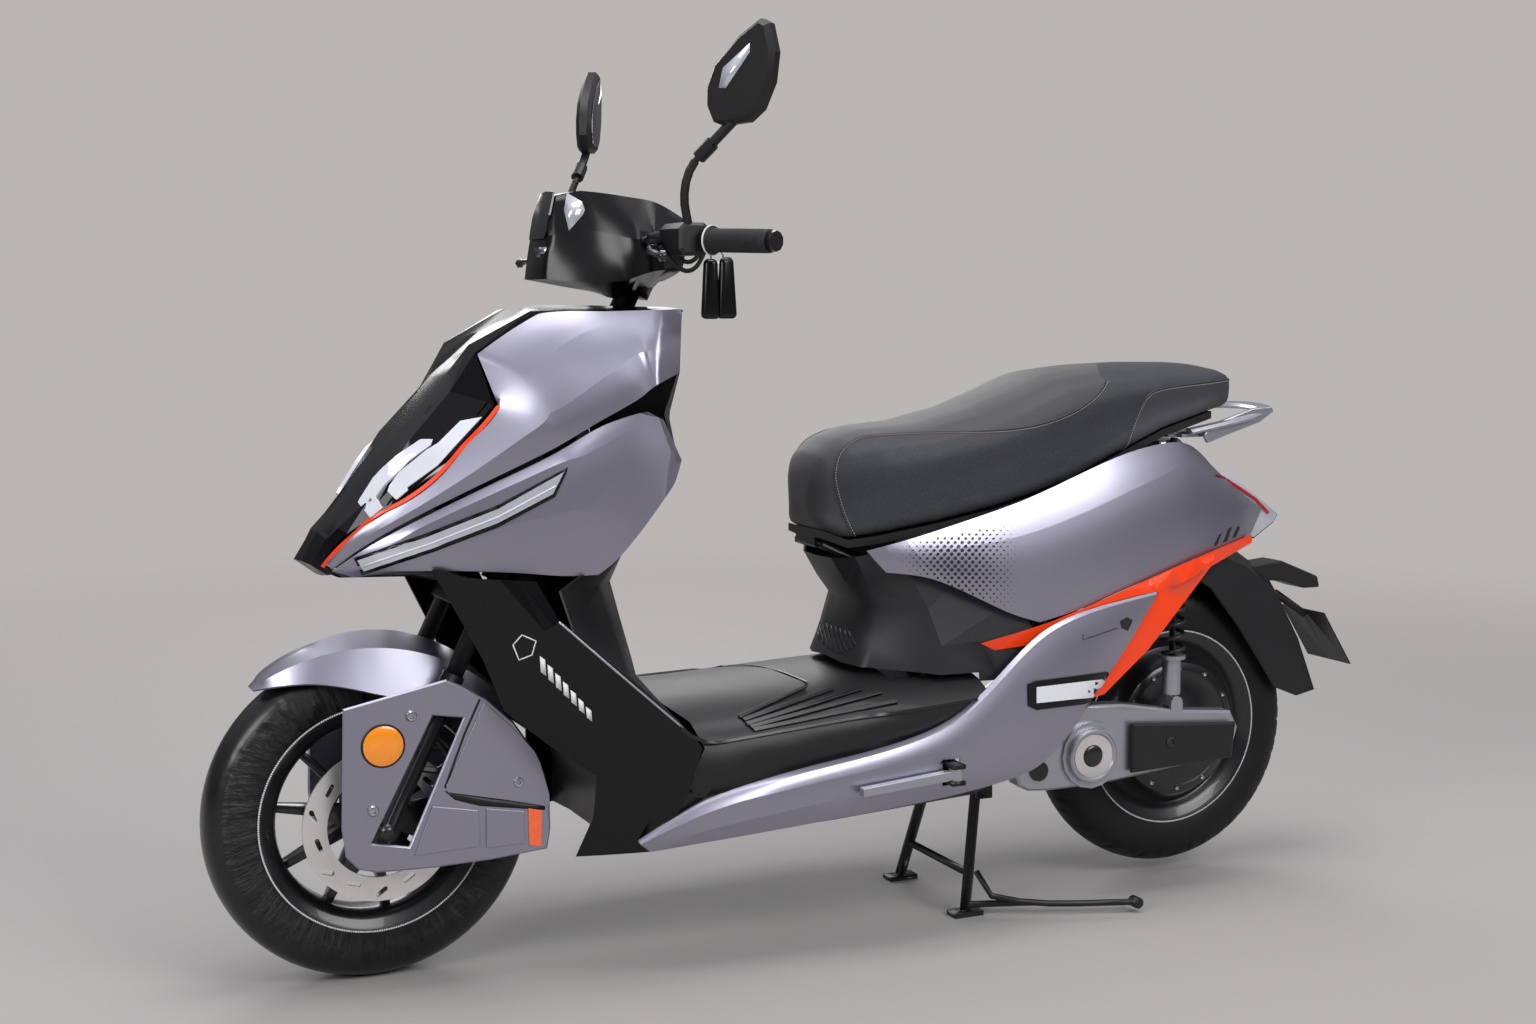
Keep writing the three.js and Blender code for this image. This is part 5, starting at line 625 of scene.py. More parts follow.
def screws(name, spots, radius, height, material, body):
    """Button-head screws with a round socket, each at a place and along a direction; sizes in mm."""
    section = [
        (0, height * 0.35), (radius * 0.45, height * 0.35), (radius * 0.48, height * 0.95),
        (radius * 0.75, height * 0.9), (radius, height * 0.35), (radius, -0.4), (0, -0.4),
    ]
    heads = [spun(spot, section, 24, out.normalized(), whole=False) for spot, out in spots]
    shown(name, joined(*heads), material, body)


COVER_SCREWS, COVER_RADIUS, COVER_FACE = 12, 101, 57.4
screws("hub_motor_screws", [
    (REAR_AXLE + Vector((math.cos(a) * COVER_RADIUS, s * COVER_FACE, math.sin(a) * COVER_RADIUS)) * MM, LEFT * s)
    for a in (math.tau * i / COVER_SCREWS for i in range(COVER_SCREWS)) for s in (1, -1)
], 4, 3, bright_zinc, "rear_wheel")

# ---------------------------------------------------------------- grips, springs, mirrors
GRIP_ROOT, GRIP_END = place(914, 252, 1038), place(867, 350, 1035)
GRIP_LENGTH = 106
RIB_PITCH = 3.4


def grip(name, node, sign):
    """Moulded grip: a flange, rows of ribs round the bar and a white band at its root."""
    root, end = (Vector((p.x, sign * p.y, p.z)) for p in (GRIP_ROOT, GRIP_END))
    line = (end - root).normalized()
    section = [(11.3, 0.3), (19.4, 0.3), (19.8, 1.5), (19.4, 3.6), (16.2, 4.4)]
    at = 5.0
    while at < GRIP_LENGTH - 12:
        section += [(15.2, at), (15.2, at + 0.8), (16.2, at + 1.4), (16.2, at + 2.6)]
        at += RIB_PITCH
    section += [(15.8, GRIP_LENGTH - 8), (16.2, GRIP_LENGTH - 5), (15.6, GRIP_LENGTH - 0.4), (14.6, GRIP_LENGTH),
                (11.3, GRIP_LENGTH)]
    shown(name, spun(root, section, 48, line), grip_rubber, node=node, smooth=35)
    band = spun(root, [(19.7, 0.4), (20.6, 0.4), (20.6, 2.8), (19.7, 2.8)], 48, line)
    shown(name + "_band", band, white_print, BODY_OF[node], smooth=35)


grip("grip_left_moulded", "grip_L", 1)
grip("grip_right_moulded", "throttle_grip", -1)

COILS, COIL_STEPS = 7, 36
WIRE_RADIUS, COIL_RADIUS = 3.5 * MM, 18 * MM
for side, _ in SIDES:
    node = "shock_spring_" + side
    low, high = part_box(node)
    centre = (low + high) / 2
    spring = bmesh.new()
    bmesh.ops.create_circle(spring, cap_ends=True, segments=12, radius=WIRE_RADIUS)
    turn(spring, spring.verts, math.pi / 2, "X")
    bmesh.ops.translate(spring, verts=spring.verts, vec=(centre.x + COIL_RADIUS, centre.y, low.z + WIRE_RADIUS))
    bmesh.ops.spin(
        spring, geom=spring.faces[:], cent=(centre.x, centre.y, low.z), axis=UP,
        dvec=UP * (high.z - low.z - 2 * WIRE_RADIUS) / (COILS * COIL_STEPS),
        angle=math.tau * COILS, steps=COILS * COIL_STEPS, use_duplicate=False)
    bmesh.ops.recalc_face_normals(spring, faces=spring.faces)
    piece = shown(f"shock_spring_{side}_wound", spring, frame_steel, node=node, smooth=40)
    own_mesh(piece)

MIRROR_SHARE, MIRROR_LIFT = 0.9, 0.5
for side, body in (("L", "mirror_left"), ("R", "mirror_right")):
    form = merged_copy("mirror_head_" + side)
    whole_faces(form, 1)
    form.normal_update()
    back = max((f for f in form.faces if f.normal.x < -0.3), key=lambda f: f.calc_area())
    spot, out = back.calc_center_median(), back.normal.copy()
    bmesh.ops.delete(form, geom=[f for f in form.faces if f != back], context="FACES")
    for vert in form.verts:
        vert.co = spot + (vert.co - spot) * MIRROR_SHARE + out * MIRROR_LIFT * MM
    shown("mirror_glass_" + side, form, mirror_glass, body, bevel=0.4, wall=0.8)


# ---------------------------------------------------------------- thin parts laid on the panels
def side_of(form, sign):
    """Carries a left-hand form over to the right where sign is -1."""
    if sign < 0:
        for vert in form.verts:
            vert.co.y *= -1
        bmesh.ops.reverse_faces(form, faces=form.faces)
    return form


def patch_on(nodes, outline, lift=0.5, step=8):
    """A sheet that follows one or more nodes under an outline drawn in the photograph's pixels; lift in mm."""
    tree = tree_of(nodes)
    form = bmesh.new()
    form.faces.new([form.verts.new((u, v, 0)) for u, v in outline])
    for axis in (0, 1):
        values = [point[axis] for point in outline]
        at = min(values) + step
        while at < max(values):
            spot, way = Vector((0, 0, 0)), Vector((0, 0, 0))
            spot[axis], way[axis] = at, 1
            everything = form.verts[:] + form.edges[:] + form.faces[:]
            bmesh.ops.bisect_plane(form, geom=everything, plane_co=spot, plane_no=way)
            at += step
    for vert in form.verts:
        hit, normal = seen(tree, vert.co.x, vert.co.y)
        vert.co = hit + normal * lift * MM
    form.normal_update()
    for face in form.faces:
        if face.normal.dot(face.calc_center_median() - CAMERA_PLACE) > 0:
            face.normal_flip()
    return form


def calmed(spots, passes):
    """Places and directions with the small steps between them evened out."""
    for _ in range(passes):
        spots = [spots[0]] + [
            (a[0] * 0.25 + b[0] * 0.5 + c[0] * 0.25, (a[1] + b[1] * 2 + c[1]).normalized())
            for a, b, c in zip(spots, spots[1:], spots[2:])
        ] + [spots[-1]]
    return spots


def ribbon(spots, width, lift):
    """Extrudes one edge along places with their outward directions; width and lift in mm."""
    form = bmesh.new()
    edge, left = None, None
    for index, (spot, out) in enumerate(spots):
        before, after = spots[max(0, index - 1)][0], spots[min(len(spots) - 1, index + 1)][0]
        side = out.cross(after - before).normalized() * (width / 2 * MM)
        ends = [spot + side * sign + out * lift * MM for sign in (1, -1)]
        if edge is None:
            left = form.verts.new(ends[0])
            edge = form.edges.new((left, form.verts.new(ends[1])))
            continue
        old = left
        grown = bmesh.ops.extrude_edge_only(form, edges=[edge])["geom"]
        edge = next(g for g in grown if isinstance(g, bmesh.types.BMEdge))
        for vert in edge.verts:
            if any(link.other_vert(vert) == old for link in vert.link_edges):
                left = vert
            else:
                vert.co = ends[1]
        left.co = ends[0]
    form.normal_update()
    for face, (_, out) in zip(form.faces, spots):
        if face.normal.dot(out) < 0:
            face.normal_flip()
    return form


def strip(nodes, path, width, lift=0.5, step=6, calm=0):
    """A ribbon of a width in mm that follows a panel along a line drawn in the photograph's pixels."""
    tree = tree_of(nodes)
    spots = []
    for (u0, v0), (u1, v1) in zip(path, path[1:]):
        count = max(1, round(math.hypot(u1 - u0, v1 - v0) / step))
        spots += [seen(tree, u0 + (u1 - u0) * i / count, v0 + (v1 - v0) * i / count) for i in range(count)]
    spots.append(seen(tree, *path[-1]))
    return ribbon(calmed(spots, calm), width, lift)


def smooth_path(path, count):
    """Even places along a line through pixels, rounded at its corners."""
    points = [Vector(p) for p in path]
    for _ in range(2):
        points = [points[0]] + [
            q for a, b in zip(points, points[1:]) for q in (a.lerp(b, 0.25), a.lerp(b, 0.75))] + [points[-1]]
    runs = [(b - a).length for a, b in zip(points, points[1:])]
    total, made = sum(runs), []
    for index in range(count + 1):
        want, at = total * index / count, 0
        while at < len(runs) - 1 and want > runs[at]:
            want -= runs[at]
            at += 1
        made.append(points[at].lerp(points[at + 1], min(1, want / runs[at])))
    return made


def tube(points, radius):
    """A round cord through places in metres; radius in mm."""
    curve = bpy.data.curves.new("line", "CURVE")
    curve.dimensions, curve.bevel_depth, curve.bevel_resolution, curve.use_fill_caps = "3D", radius * MM, 2, True
    line = curve.splines.new("POLY")
    line.points.add(len(points) - 1)
    for corner, spot in zip(line.points, points):
        corner.co = (*spot, 1)
    held = linked("line", curve)
    form = bmesh.new()
    form.from_mesh(worked_out(held))
    bpy.data.objects.remove(held)
    return form


def slab(outline, y, thick):
    """An upright plate drawn in the photograph's pixels, from y outwards; y and thick in mm."""
    form = bmesh.new()
    face = form.faces.new([form.verts.new(on_plane(u, v, y * MM)) for u, v in outline])
    pulled(form, [face], thick)
    bmesh.ops.recalc_face_normals(form, faces=form.faces)
    return form


def pair_of(name, make, *drawn, material, body="chassis", **finish):
    """The same thin part on the left and the right, made by a function from what is drawn for it."""
    shown(name, joined(make(*drawn), side_of(make(*drawn), -1)), material, body, **finish)


def laid(make, nodes, lines, *sizes):
    """Several patches or strips in one."""
    return joined(*(make(nodes, line, *sizes) for line in lines))


# Nose: the orange line along the mask, the daytime lamps and the lamp strip of the lower wing
ORANGE_LINE = [(499, 407), (482, 425), (454, 458), (427, 488), (410, 496), (350, 534), (323, 566)]
pair_of("mask_edge_trim", strip, "front_mask headlight_L upper_wing_L lower_wing_L", ORANGE_LINE, 6, 1.4, 8, 6,
        material=orange_plastic, wall=1.6, bevel=0.5, smooth=40)
DAY_LAMPS = {
    "outer": [(360, 503), (372, 518), (387, 509), (378, 498), (386, 487), (410, 462), (431, 446), (433, 440),
              (421, 440), (398, 456), (376, 479)],
    "inner": [(388, 492), (399, 503), (412, 495), (408, 488), (438, 466), (456, 446), (482, 418), (460, 422),
              (438, 444), (427, 450), (400, 472), (390, 486)],
}
for name, outline in DAY_LAMPS.items():
    pair_of("day_lamp_" + name, patch_on, "front_mask", outline, 0.4, 30, material=light_guide, wall=6.0, bevel=0.6)
WING_LAMP_FRAME = [(354, 558), (427, 533), (498, 505), (568, 467), (566, 474), (555, 497), (499, 527), (433, 552),
                   (362, 575)]
pair_of("wing_lamp_frame", patch_on, "lower_wing_L", WING_LAMP_FRAME, 0.4, material=black_gloss, wall=0.8)
WING_LAMP = [(358, 560), (427, 537), (498, 509), (564, 472), (553, 494), (498, 523), (432, 548), (364, 570)]
pair_of("wing_lamp", patch_on, "lower_wing_L", WING_LAMP, 1.4, material=clear_lens, wall=1.6, bevel=0.5)
WING_LAMP_LINE = [(363, 566), (432, 543), (498, 517), (556, 486)]
pair_of("wing_lamp_line", strip, "lower_wing_L", WING_LAMP_LINE, 2.2, 3.2, material=light_guide, wall=0.5)

# Fork guards: reflectors, screws and the raised fields of the moulding
GUARD_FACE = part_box("fork_guard_L")[1].y
REFLECTOR_SPOT = (383, 746)
REFLECTOR_RING = [(26, -0.3), (30.5, -0.3), (30.5, 1.0), (29.5, 1.8), (26, 1.8)]
REFLECTOR_DOME = [(0, 5.2), (14, 4.9), (24, 3.8), (27.6, 2.2), (27.8, -0.2), (0, -0.2)]
GUARD_SCREWS = ((411, 716), (373, 811), (518, 782))


def on_guard(spot, sign):
    """A place on the face of the left fork guard, or with sign -1 of the right one, under a pixel of the left one."""
    found = on_plane(*spot, GUARD_FACE)
    return Vector((found.x, found.y * sign, found.z))


for side, sign in SIDES:
    spot, out = on_guard(REFLECTOR_SPOT, sign), LEFT * sign
    shown("guard_reflector_ring_" + side, spun(spot, REFLECTOR_RING, 64, out), black_satin, "fork_lower", smooth=35)
    dome = spun(spot, REFLECTOR_DOME, 64, out, whole=False)
    shown("guard_reflector_" + side, dome, amber_lens, "fork_lower", smooth=40)
for side, sign in SIDES:
    spots = [(on_guard(spot, sign), LEFT * sign) for spot in GUARD_SCREWS]
    screws("guard_screws_" + side, spots, 8, 5, bright_zinc, "fork_lower")

HATCHED = [(528, 808), (542, 810), (541, 846), (529, 845)]
pair_of("guard_hatched_reflector", patch_on, "fork_guard_L", HATCHED, 0.4, 20,
        material=orange_reflector, body="fork_lower", wall=1.2, bevel=0.4)
GUARD_FIELDS = {
    "upper": [(484, 702), (548, 760), (556, 806), (448, 792), (446, 786)],
    "lower": [(432, 806), (478, 810), (480, 846), (414, 856)],
    "rear": [(486, 808), (524, 811), (524, 843), (486, 848)],
}
for name, outline in GUARD_FIELDS.items():
    pair_of("guard_field_" + name, patch_on, "fork_guard_L", outline, 0.15, 30,
            material=grey_paint, body="fork_lower", wall=2.2, bevel=1.6)

# Leg covers: a plain row of slanted bars behind a five-sided outline, and a painted highlight along the seam, drawn as
# a thin silver strip
BARS = 7
BAR_FROM, BAR_TO = (543, 664), (589, 712)
BAR_TALL, BAR_SHORTER = 16, 5
LEG_MARK = [(513, 645), (522, 635), (536, 641), (532, 655), (519, 660), (513, 645)]


def leg_bars():
    forms = []
    for index in range(BARS):
        share = index / (BARS - 1)
        u, v = (a + (b - a) * share for a, b in zip(BAR_FROM, BAR_TO))
        half = (BAR_TALL - BAR_SHORTER * share) / 2
        outline = [(u - 3.2, v - half), (u + 2.2, v - half + 4), (u + 3.2, v + half + 4), (u - 2.2, v + half)]
        forms.append(patch_on("leg_cover_L", outline, 0.2, 30))
    return joined(*forms, strip("leg_cover_L", LEG_MARK, 1.8, 0.2))


pair_of("leg_cover_bars", leg_bars, material=white_print, wall=0.25)
# Painted highlight: a silver strip along the seam of leg cover, leg shield and floor board
SEAM_HIGHLIGHT = [(559, 622), (610, 666), (650, 700), (683, 728)]
pair_of("leg_cover_seam_highlight", strip, "leg_cover_L leg_shield floor_board", SEAM_HIGHLIGHT, 3.0, 0.6,
        material=silver_alloy, wall=0.5)

# Lower side fairing: a pearl reflector in a black frame
REFLECTOR_FRAME = [(1028, 684), (1034, 681), (1108, 672), (1110, 676), (1108, 701), (1036, 710), (1028, 706)]
pair_of("side_reflector_frame", patch_on, "side_fairing_L", REFLECTOR_FRAME, 0.2,
        material=black_gloss, wall=1.2, bevel=0.5)
REFLECTOR = [(1036, 687), (1102, 679), (1104, 681), (1102, 696), (1036, 703)]
pair_of("side_reflector", patch_on, "side_fairing_L", REFLECTOR, 1.4, material=white_reflector, wall=1.0, bevel=0.4)

# Side panels: a halftone of black dots that swell towards the middle of a wedge
DOT_ROWS, DOT_COLUMNS, DOT_PITCH = 16, 26, 7.6
WEDGE_LEFT, WEDGE_MIDDLE, WEDGE_LENGTH = 896, 570, 126


def halftone():
    tree = tree_of("side_panel_L")
    form = bmesh.new()
    for row in range(-DOT_ROWS, DOT_ROWS):
        for column in range(-2, DOT_COLUMNS):
            u = WEDGE_LEFT + DOT_PITCH * (column + (row % 2) / 2) * 0.92
            v = WEDGE_MIDDLE + DOT_PITCH * row * 0.52
            edge = (u - WEDGE_LEFT) / WEDGE_LENGTH
            top, bottom = 545 - 22 * edge, 568 + 48 * max(0, edge - 0.05)
            hit, normal, *_ = tree.ray_cast(CAMERA_PLACE, sight(u, v))
            if hit is None or not (0 < edge < 1 and top < v < bottom):
                continue
            off = (v - (top + bottom) / 2) / (bottom - top) * 2
            size = 2.3 * math.sin(math.pi * edge) ** 1.2 * (1 - 0.4 * off ** 2) + 0.25
            dot = bmesh.ops.create_circle(form, cap_ends=True, segments=6, radius=size * MM * 1.25)["verts"]
            facing = normal.to_track_quat("Z", "Y").to_matrix()
            bmesh.ops.rotate(form, verts=dot, cent=(0, 0, 0), matrix=facing)
            bmesh.ops.translate(form, verts=dot, vec=hit + normal * 0.25 * MM)
    return form


pair_of("side_panel_halftone", halftone, material=black_print_and_shade)

# Side fairing and side panel: small plain marks
SIDE_MARK = [(1083, 634), (1083, 640), (1118, 628)]
SIDE_SPOT = [(1120, 621), (1127, 617), (1133, 620), (1128, 631), (1122, 628)]
SLASHES = [
    [(1214, 546), (1219, 535), (1222, 533), (1217, 545)], [(1223, 543), (1229, 528), (1232, 527), (1227, 541)],
    [(1232, 538), (1238, 526), (1240, 527), (1236, 537)],
]
pair_of("fairing_mark", strip, "side_fairing_L", SIDE_MARK, 1.2, 0.2, material=black_print_and_shade)
pair_of("fairing_spot", patch_on, "side_fairing_L", SIDE_SPOT, 0.2, 30, material=black_print_and_shade)
pair_of("side_panel_slashes", laid, patch_on, "side_panel_L", SLASHES, 0.2, 30, material=black_print_and_shade)

# Floor board: the mat's rim, its groove and the fan of ribs under the rider's foot
MAT_RIM = [(681, 729), (704, 747), (740, 740), (840, 722), (977, 698)]
MAT_GROOVE = [(630, 677), (662, 670), (711, 666), (753, 665), (786, 673), (807, 683)]
RIBS = [
    ((739, 718), (805, 688)), ((743, 721), (832, 690)), ((746, 725), (861, 690)), ((750, 728), (881, 693)),
    ((753, 731), (897, 702)),
]
pair_of("mat_rim", strip, "floor_board leg_cover_L", MAT_RIM, 6, 1.2, 12, 3, material=frame_steel, wall=2.2, bevel=0.9)
shown("mat_groove", strip("floor_board", MAT_GROOVE, 4, 1.2, 10, 3), frame_steel, wall=1.2, bevel=0.5)
shown("mat_ribs", laid(strip, "floor_board", RIBS, 8, 1.0, 12, 2), frame_steel, wall=3.0, bevel=1.2)

# Panel below the seat: a fan of cooling slots, drawn as thin black sheets of painted shade
VENTS = 9
VENT_FROM, VENT_RUN = (813, 619), (36, 13)
vent_shade_lines = []
for index in range(VENTS):
    share = index / (VENTS - 1)
    u, v = VENT_FROM[0] + VENT_RUN[0] * share, VENT_FROM[1] + VENT_RUN[1] * share
    vent_shade_lines.append([(u, v), (u + 7, v + 8 + 20 * math.sin(math.pi * (0.2 + 0.7 * share)))])
shown("cooling_slot_shade", laid(strip, "under_seat_cover", vent_shade_lines, 3.6, 0.5, 5), black_print_and_shade, wall=0.3)

# Swinging arm: the bearing cap with its ground ring, dish and plain centre, and the cover's bolt
CAP_RING = [(34, -2), (42.5, -2), (42.5, 2.4), (40.5, 4), (37, 4), (34, 1)]
CAP_DISH = [(0, 0.4), (22, 0.4), (34.4, 2.2), (34.4, -2), (0, -2)]
CAP_CENTRE = [(0, 3.4), (12, 3.2), (17, 1.6), (18, 0.2), (0, 0.2)]
cap_spot = seen(tree_of("swingarm"), 1093, 756)[0]
shown("arm_cap_ring", spun(cap_spot, CAP_RING), silver_alloy, "swing_arm")
shown("arm_cap_dish", spun(cap_spot, CAP_DISH, whole=False), disc_steel, "swing_arm")
shown("arm_cap_centre", spun(cap_spot, CAP_CENTRE, 48, whole=False), black_alloy, "swing_arm", smooth=40)
screws("arm_cover_bolt", [(seen(tree_of("arm_cover"), 1171, 742)[0], LEFT)], 9, 4, black_alloy, "swing_arm")

# Tail light: the red light guide along its edge
TAIL_GUIDE = [(1217, 474), (1236, 486), (1255, 499), (1268, 513)]
pair_of("tail_light_guide", strip, "tail_light side_panel_L", TAIL_GUIDE, 5, 0.5,
        material=red_lens, wall=1.4, bevel=0.5)

# Handlebar: the clear patch of the screen, a plain metal plate, cable loops and two key fobs on their ring
SCREEN_PATCH = [(567, 193), (582, 202), (585, 210), (583, 215), (569, 231), (564, 210)]
COWL_PLATE = [(535, 248), (547, 247), (544, 258), (537, 257)]
SCREEN = "windscreen handlebar_cowl"
shown("screen_clear_patch", patch_on(SCREEN, SCREEN_PATCH, 0.4, 30), clear_lens, "steering", wall=0.5)
shown("cowl_plate", patch_on(SCREEN, COWL_PLATE, 0.4, 30), bright_zinc, "steering", wall=0.6)
CABLE_DEPTH, CABLE_RADIUS = 190, 3.2
CABLES = {
    "brake": [(660, 246), (664, 252), (670, 259), (677, 267), (687, 272), (696, 268), (702, 258), (706, 248)],
    "switch": [(668, 246), (676, 256), (684, 262), (692, 262), (700, 254), (704, 246)],
}
for name, path in CABLES.items():
    cord = [on_plane(*spot, CABLE_DEPTH * MM) for spot in smooth_path(path, 40)]
    shown(name + "_cable_loop", tube(cord, CABLE_RADIUS), grip_rubber, "steering", smooth=60)
# Each fob's pixel, its width and thickness at the broad end and its height in mm, and its turn in radians
FOBS = [((710.5, 289), 27, 16, 82, -0.12), ((726.5, 288), 30, 17, 84, 0.2)]
FOB_DEPTH = 226
FOB_NECK = 0.7
for index, (spot, wide, thick, tall, angle) in enumerate(FOBS):
    fob = bmesh.new()
    tapered(fob, (wide, thick, -tall / 2), (wide * FOB_NECK, thick * FOB_NECK, tall / 2))
    softened(fob, 7, 5)
    turn(fob, fob.verts, angle, "Z")
    bmesh.ops.translate(fob, verts=fob.verts, vec=on_plane(*spot, FOB_DEPTH * MM))
    shown(f"key_fob_{index + 1}", fob, black_gloss, "steering", smooth=40)
KEY_RING, KEY_WIRE = 9, 1.1
turns = [math.tau * i / 10 for i in range(10)]
ring_section = [(KEY_RING + KEY_WIRE * math.cos(a), KEY_WIRE * math.sin(a)) for a in turns]
shown("key_ring", spun(on_plane(717, 257, FOB_DEPTH * MM), ring_section, 40), bright_zinc, "steering", smooth=50)

# Mirrors: the pale window in the left head's back
MIRROR_WINDOW = [(719, 88), (723, 68), (750, 43), (750, 52), (726, 88)]
shown("mirror_window_L", patch_on("mirror_head_L", MIRROR_WINDOW, 0.3, 40), clear_lens, "mirror_left", wall=0.5)

# Tail: the blades of the grab rail and the lamp housing over the number plate
RAIL_BLADE = [(1201, 434), (1208, 425), (1250, 408), (1268, 406), (1271, 411), (1257, 422), (1226, 434), (1205, 443)]
pair_of("grab_rail_blade", slab, RAIL_BLADE, 106, 9, material=silver_alloy, bevel=2.5)
LAMP_HOUSING = [(1232, 562), (1262, 557), (1297, 572), (1299, 583), (1284, 584), (1262, 577), (1236, 576)]
shown("plate_lamp_housing", slab(LAMP_HOUSING, -28, 56), black_satin, bevel=3)

# Fork guards: painted shade in the moulded groove and under the step below it, laid on as thin black sheets
GUARD_GROOVE_SHADE = [(482, 694), (464, 735), (445, 788)]
GUARD_STEP_SHADE = [(444, 791), (456, 792), (545, 806), (545, 810), (480, 806), (455, 800)]
pair_of("guard_groove_shade", strip, "fork_guard_L", GUARD_GROOVE_SHADE, 3.4, 0.1,
        material=black_satin, body="fork_lower", wall=0.3)
pair_of("guard_step_shade", patch_on, "fork_guard_L", GUARD_STEP_SHADE, 0.1, 30,
        material=black_satin, body="fork_lower", wall=0.3)

# ---------------------------------------------------------------- seat
SEAM_TOP = [
    (857, 543), (845, 520), (836, 492), (833, 471), (840, 450), (857, 437), (887, 434), (937, 432), (994, 431),
    (1030, 427), (1058, 419), (1083, 407), (1101, 391), (1106, 381),
]
SEAM_REAR = [(1123, 453), (1132, 427), (1141, 404), (1151, 391), (1173, 386), (1209, 382), (1241, 377)]
TOP_ZONE = SEAM_TOP + [(1100, 376), (1097, 366), (1096, 330), (900, 330), (740, 420), (740, 600), (850, 600)]
REAR_ZONE = SEAM_REAR + [(1262, 374), (1290, 400), (1280, 440), (1150, 480), (1115, 470)]
SEAT_VOXEL = 6
SEAT_CAP = 7
FIRST_FRAME, LAST_FRAME = 1, 20
CALM_PASSES = 60
# The cover is clamped up to 3 mm from the seat base, and swells fully from 25 mm further out
CLAMPED, EASED_OVER = 3, 25


def inside(point, outline):
    u, v = point
    found = False
    for (a, b), (c, d) in zip(outline, outline[1:] + outline[:1]):
        if (b > v) != (d > v) and u < (c - a) * (v - b) / (d - b) + a:
            found = not found
    return found


def applied(piece):
    """Replaces a piece's mesh by what its modifiers make of it."""
    made = worked_out(piece)
    piece.modifiers.clear()
    piece.data = made


def evened(moves, edges, passes):
    """Moves of the corners mixed with those of their neighbours, which leaves the swell and takes the creases."""
    for _ in range(passes):
        sums, counts = [move.copy() for move in moves], [1] * len(moves)
        for a, b in edges:
            sums[a] += moves[b]
            sums[b] += moves[a]
            counts[a] += 1
            counts[b] += 1
        moves = [total / count for total, count in zip(sums, counts)]
    return moves


form = merged_copy("seat_cushion")
bmesh.ops.recalc_face_normals(form, faces=form.faces)
seat = linked("seat_cushion_sewn", mesh_of("seat", form))
remesh = seat.modifiers.new("voxels", "REMESH")
remesh.mode, remesh.voxel_size = "VOXEL", SEAT_VOXEL * MM
applied(seat)
form = bmesh.new()
form.from_mesh(seat.data)
for _ in range(6):
    bmesh.ops.smooth_vert(form, verts=form.verts, factor=0.5, use_axis_x=True, use_axis_y=True, use_axis_z=True)
form.to_mesh(seat.data)
form.free()
rest = [v.co.copy() for v in seat.data.vertices]
cloth = seat.modifiers.new("cloth", "CLOTH")
cloth.settings.use_pressure = True
cloth.settings.uniform_pressure_force = 4
cloth.settings.effector_weights.gravity = 0
cloth.point_cache.frame_start, cloth.point_cache.frame_end = FIRST_FRAME, LAST_FRAME
for step in range(FIRST_FRAME, LAST_FRAME + 1):
    bpy.context.scene.frame_set(step)
applied(seat)
bpy.context.scene.frame_set(FIRST_FRAME)
moves = [vert.co - start for vert, start in zip(seat.data.vertices, rest)]
moves = [move * min(1, SEAT_CAP * MM / max(move.length, MM)) for move in moves]
moves = evened(moves, [tuple(edge.vertices) for edge in seat.data.edges], CALM_PASSES)
base_tree = tree_of("seat_base")
for vert, start, move in zip(seat.data.vertices, rest, moves):
    near = base_tree.find_nearest(start)[3] / MM
    vert.co = start + move * min(1, max(0, near - CLAMPED) / EASED_OVER)
finer = seat.modifiers.new("finer", "SUBSURF")
finer.levels = finer.render_levels = 1
applied(seat)
seat_tree = BVHTree.FromPolygons([v.co for v in seat.data.vertices], [p.vertices for p in seat.data.polygons])

for material in (seat_side, seat_top, seat_rear):
    seat.data.materials.append(material)
for face in seat.data.polygons:
    spot = pixel(Vector((face.center.x, abs(face.center.y), face.center.z)))
    face.material_index = 1 if inside(spot, TOP_ZONE) else 2 if inside(spot, REAR_ZONE) else 0
    face.use_smooth = True
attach(seat, "seat")
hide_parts("seat_cushion")

STITCH = 4.2
STITCH_RADIUS, STITCH_ASIDE = 0.75, 3.2
for name, path, count in (("top", SEAM_TOP, 150), ("rear", SEAM_REAR, 60)):
    spots = [seen(seat_tree, *spot) for spot in smooth_path(path, count)]
    for side, sign in SIDES:
        welt = side_of(tube([p + n * 0.2 * MM for p, n in spots], 1.5), sign)
        shown(f"seat_welt_{name}_{side}", welt, seat_side, "seat", smooth=60)
        stitches = bmesh.new()
        travelled, due = 0, 0
        for (a, an), (b, _) in zip(spots, spots[1:]):
            run = (b - a).length / MM
            while due < travelled + run:
                spot = a.lerp(b, (due - travelled) / run)
                way = (b - a).normalized()
                out = an.cross(way).normalized()
                made = bmesh.ops.create_icosphere(stitches, subdivisions=1, radius=STITCH_RADIUS * MM)["verts"]
                for vert in made:
                    x, y, z = vert.co
                    vert.co = (spot + an * (1.1 * MM + z * 0.8) + way * x * 2.1
                               + out * (y * 0.8 - STITCH_ASIDE * MM))
                due += STITCH
            travelled += run
        shown(f"seat_stitches_{name}_{side}", side_of(stitches, sign), piping, "seat", smooth=60)

# ---------------------------------------------------------------- floor, backdrop and light
PLAIN_TONE = "#b9b6b4"
FLOOR_TONE = "#a09d9b"
FLOOR = 40
FADE_FROM, FADE_TO = 1.2, 5.0


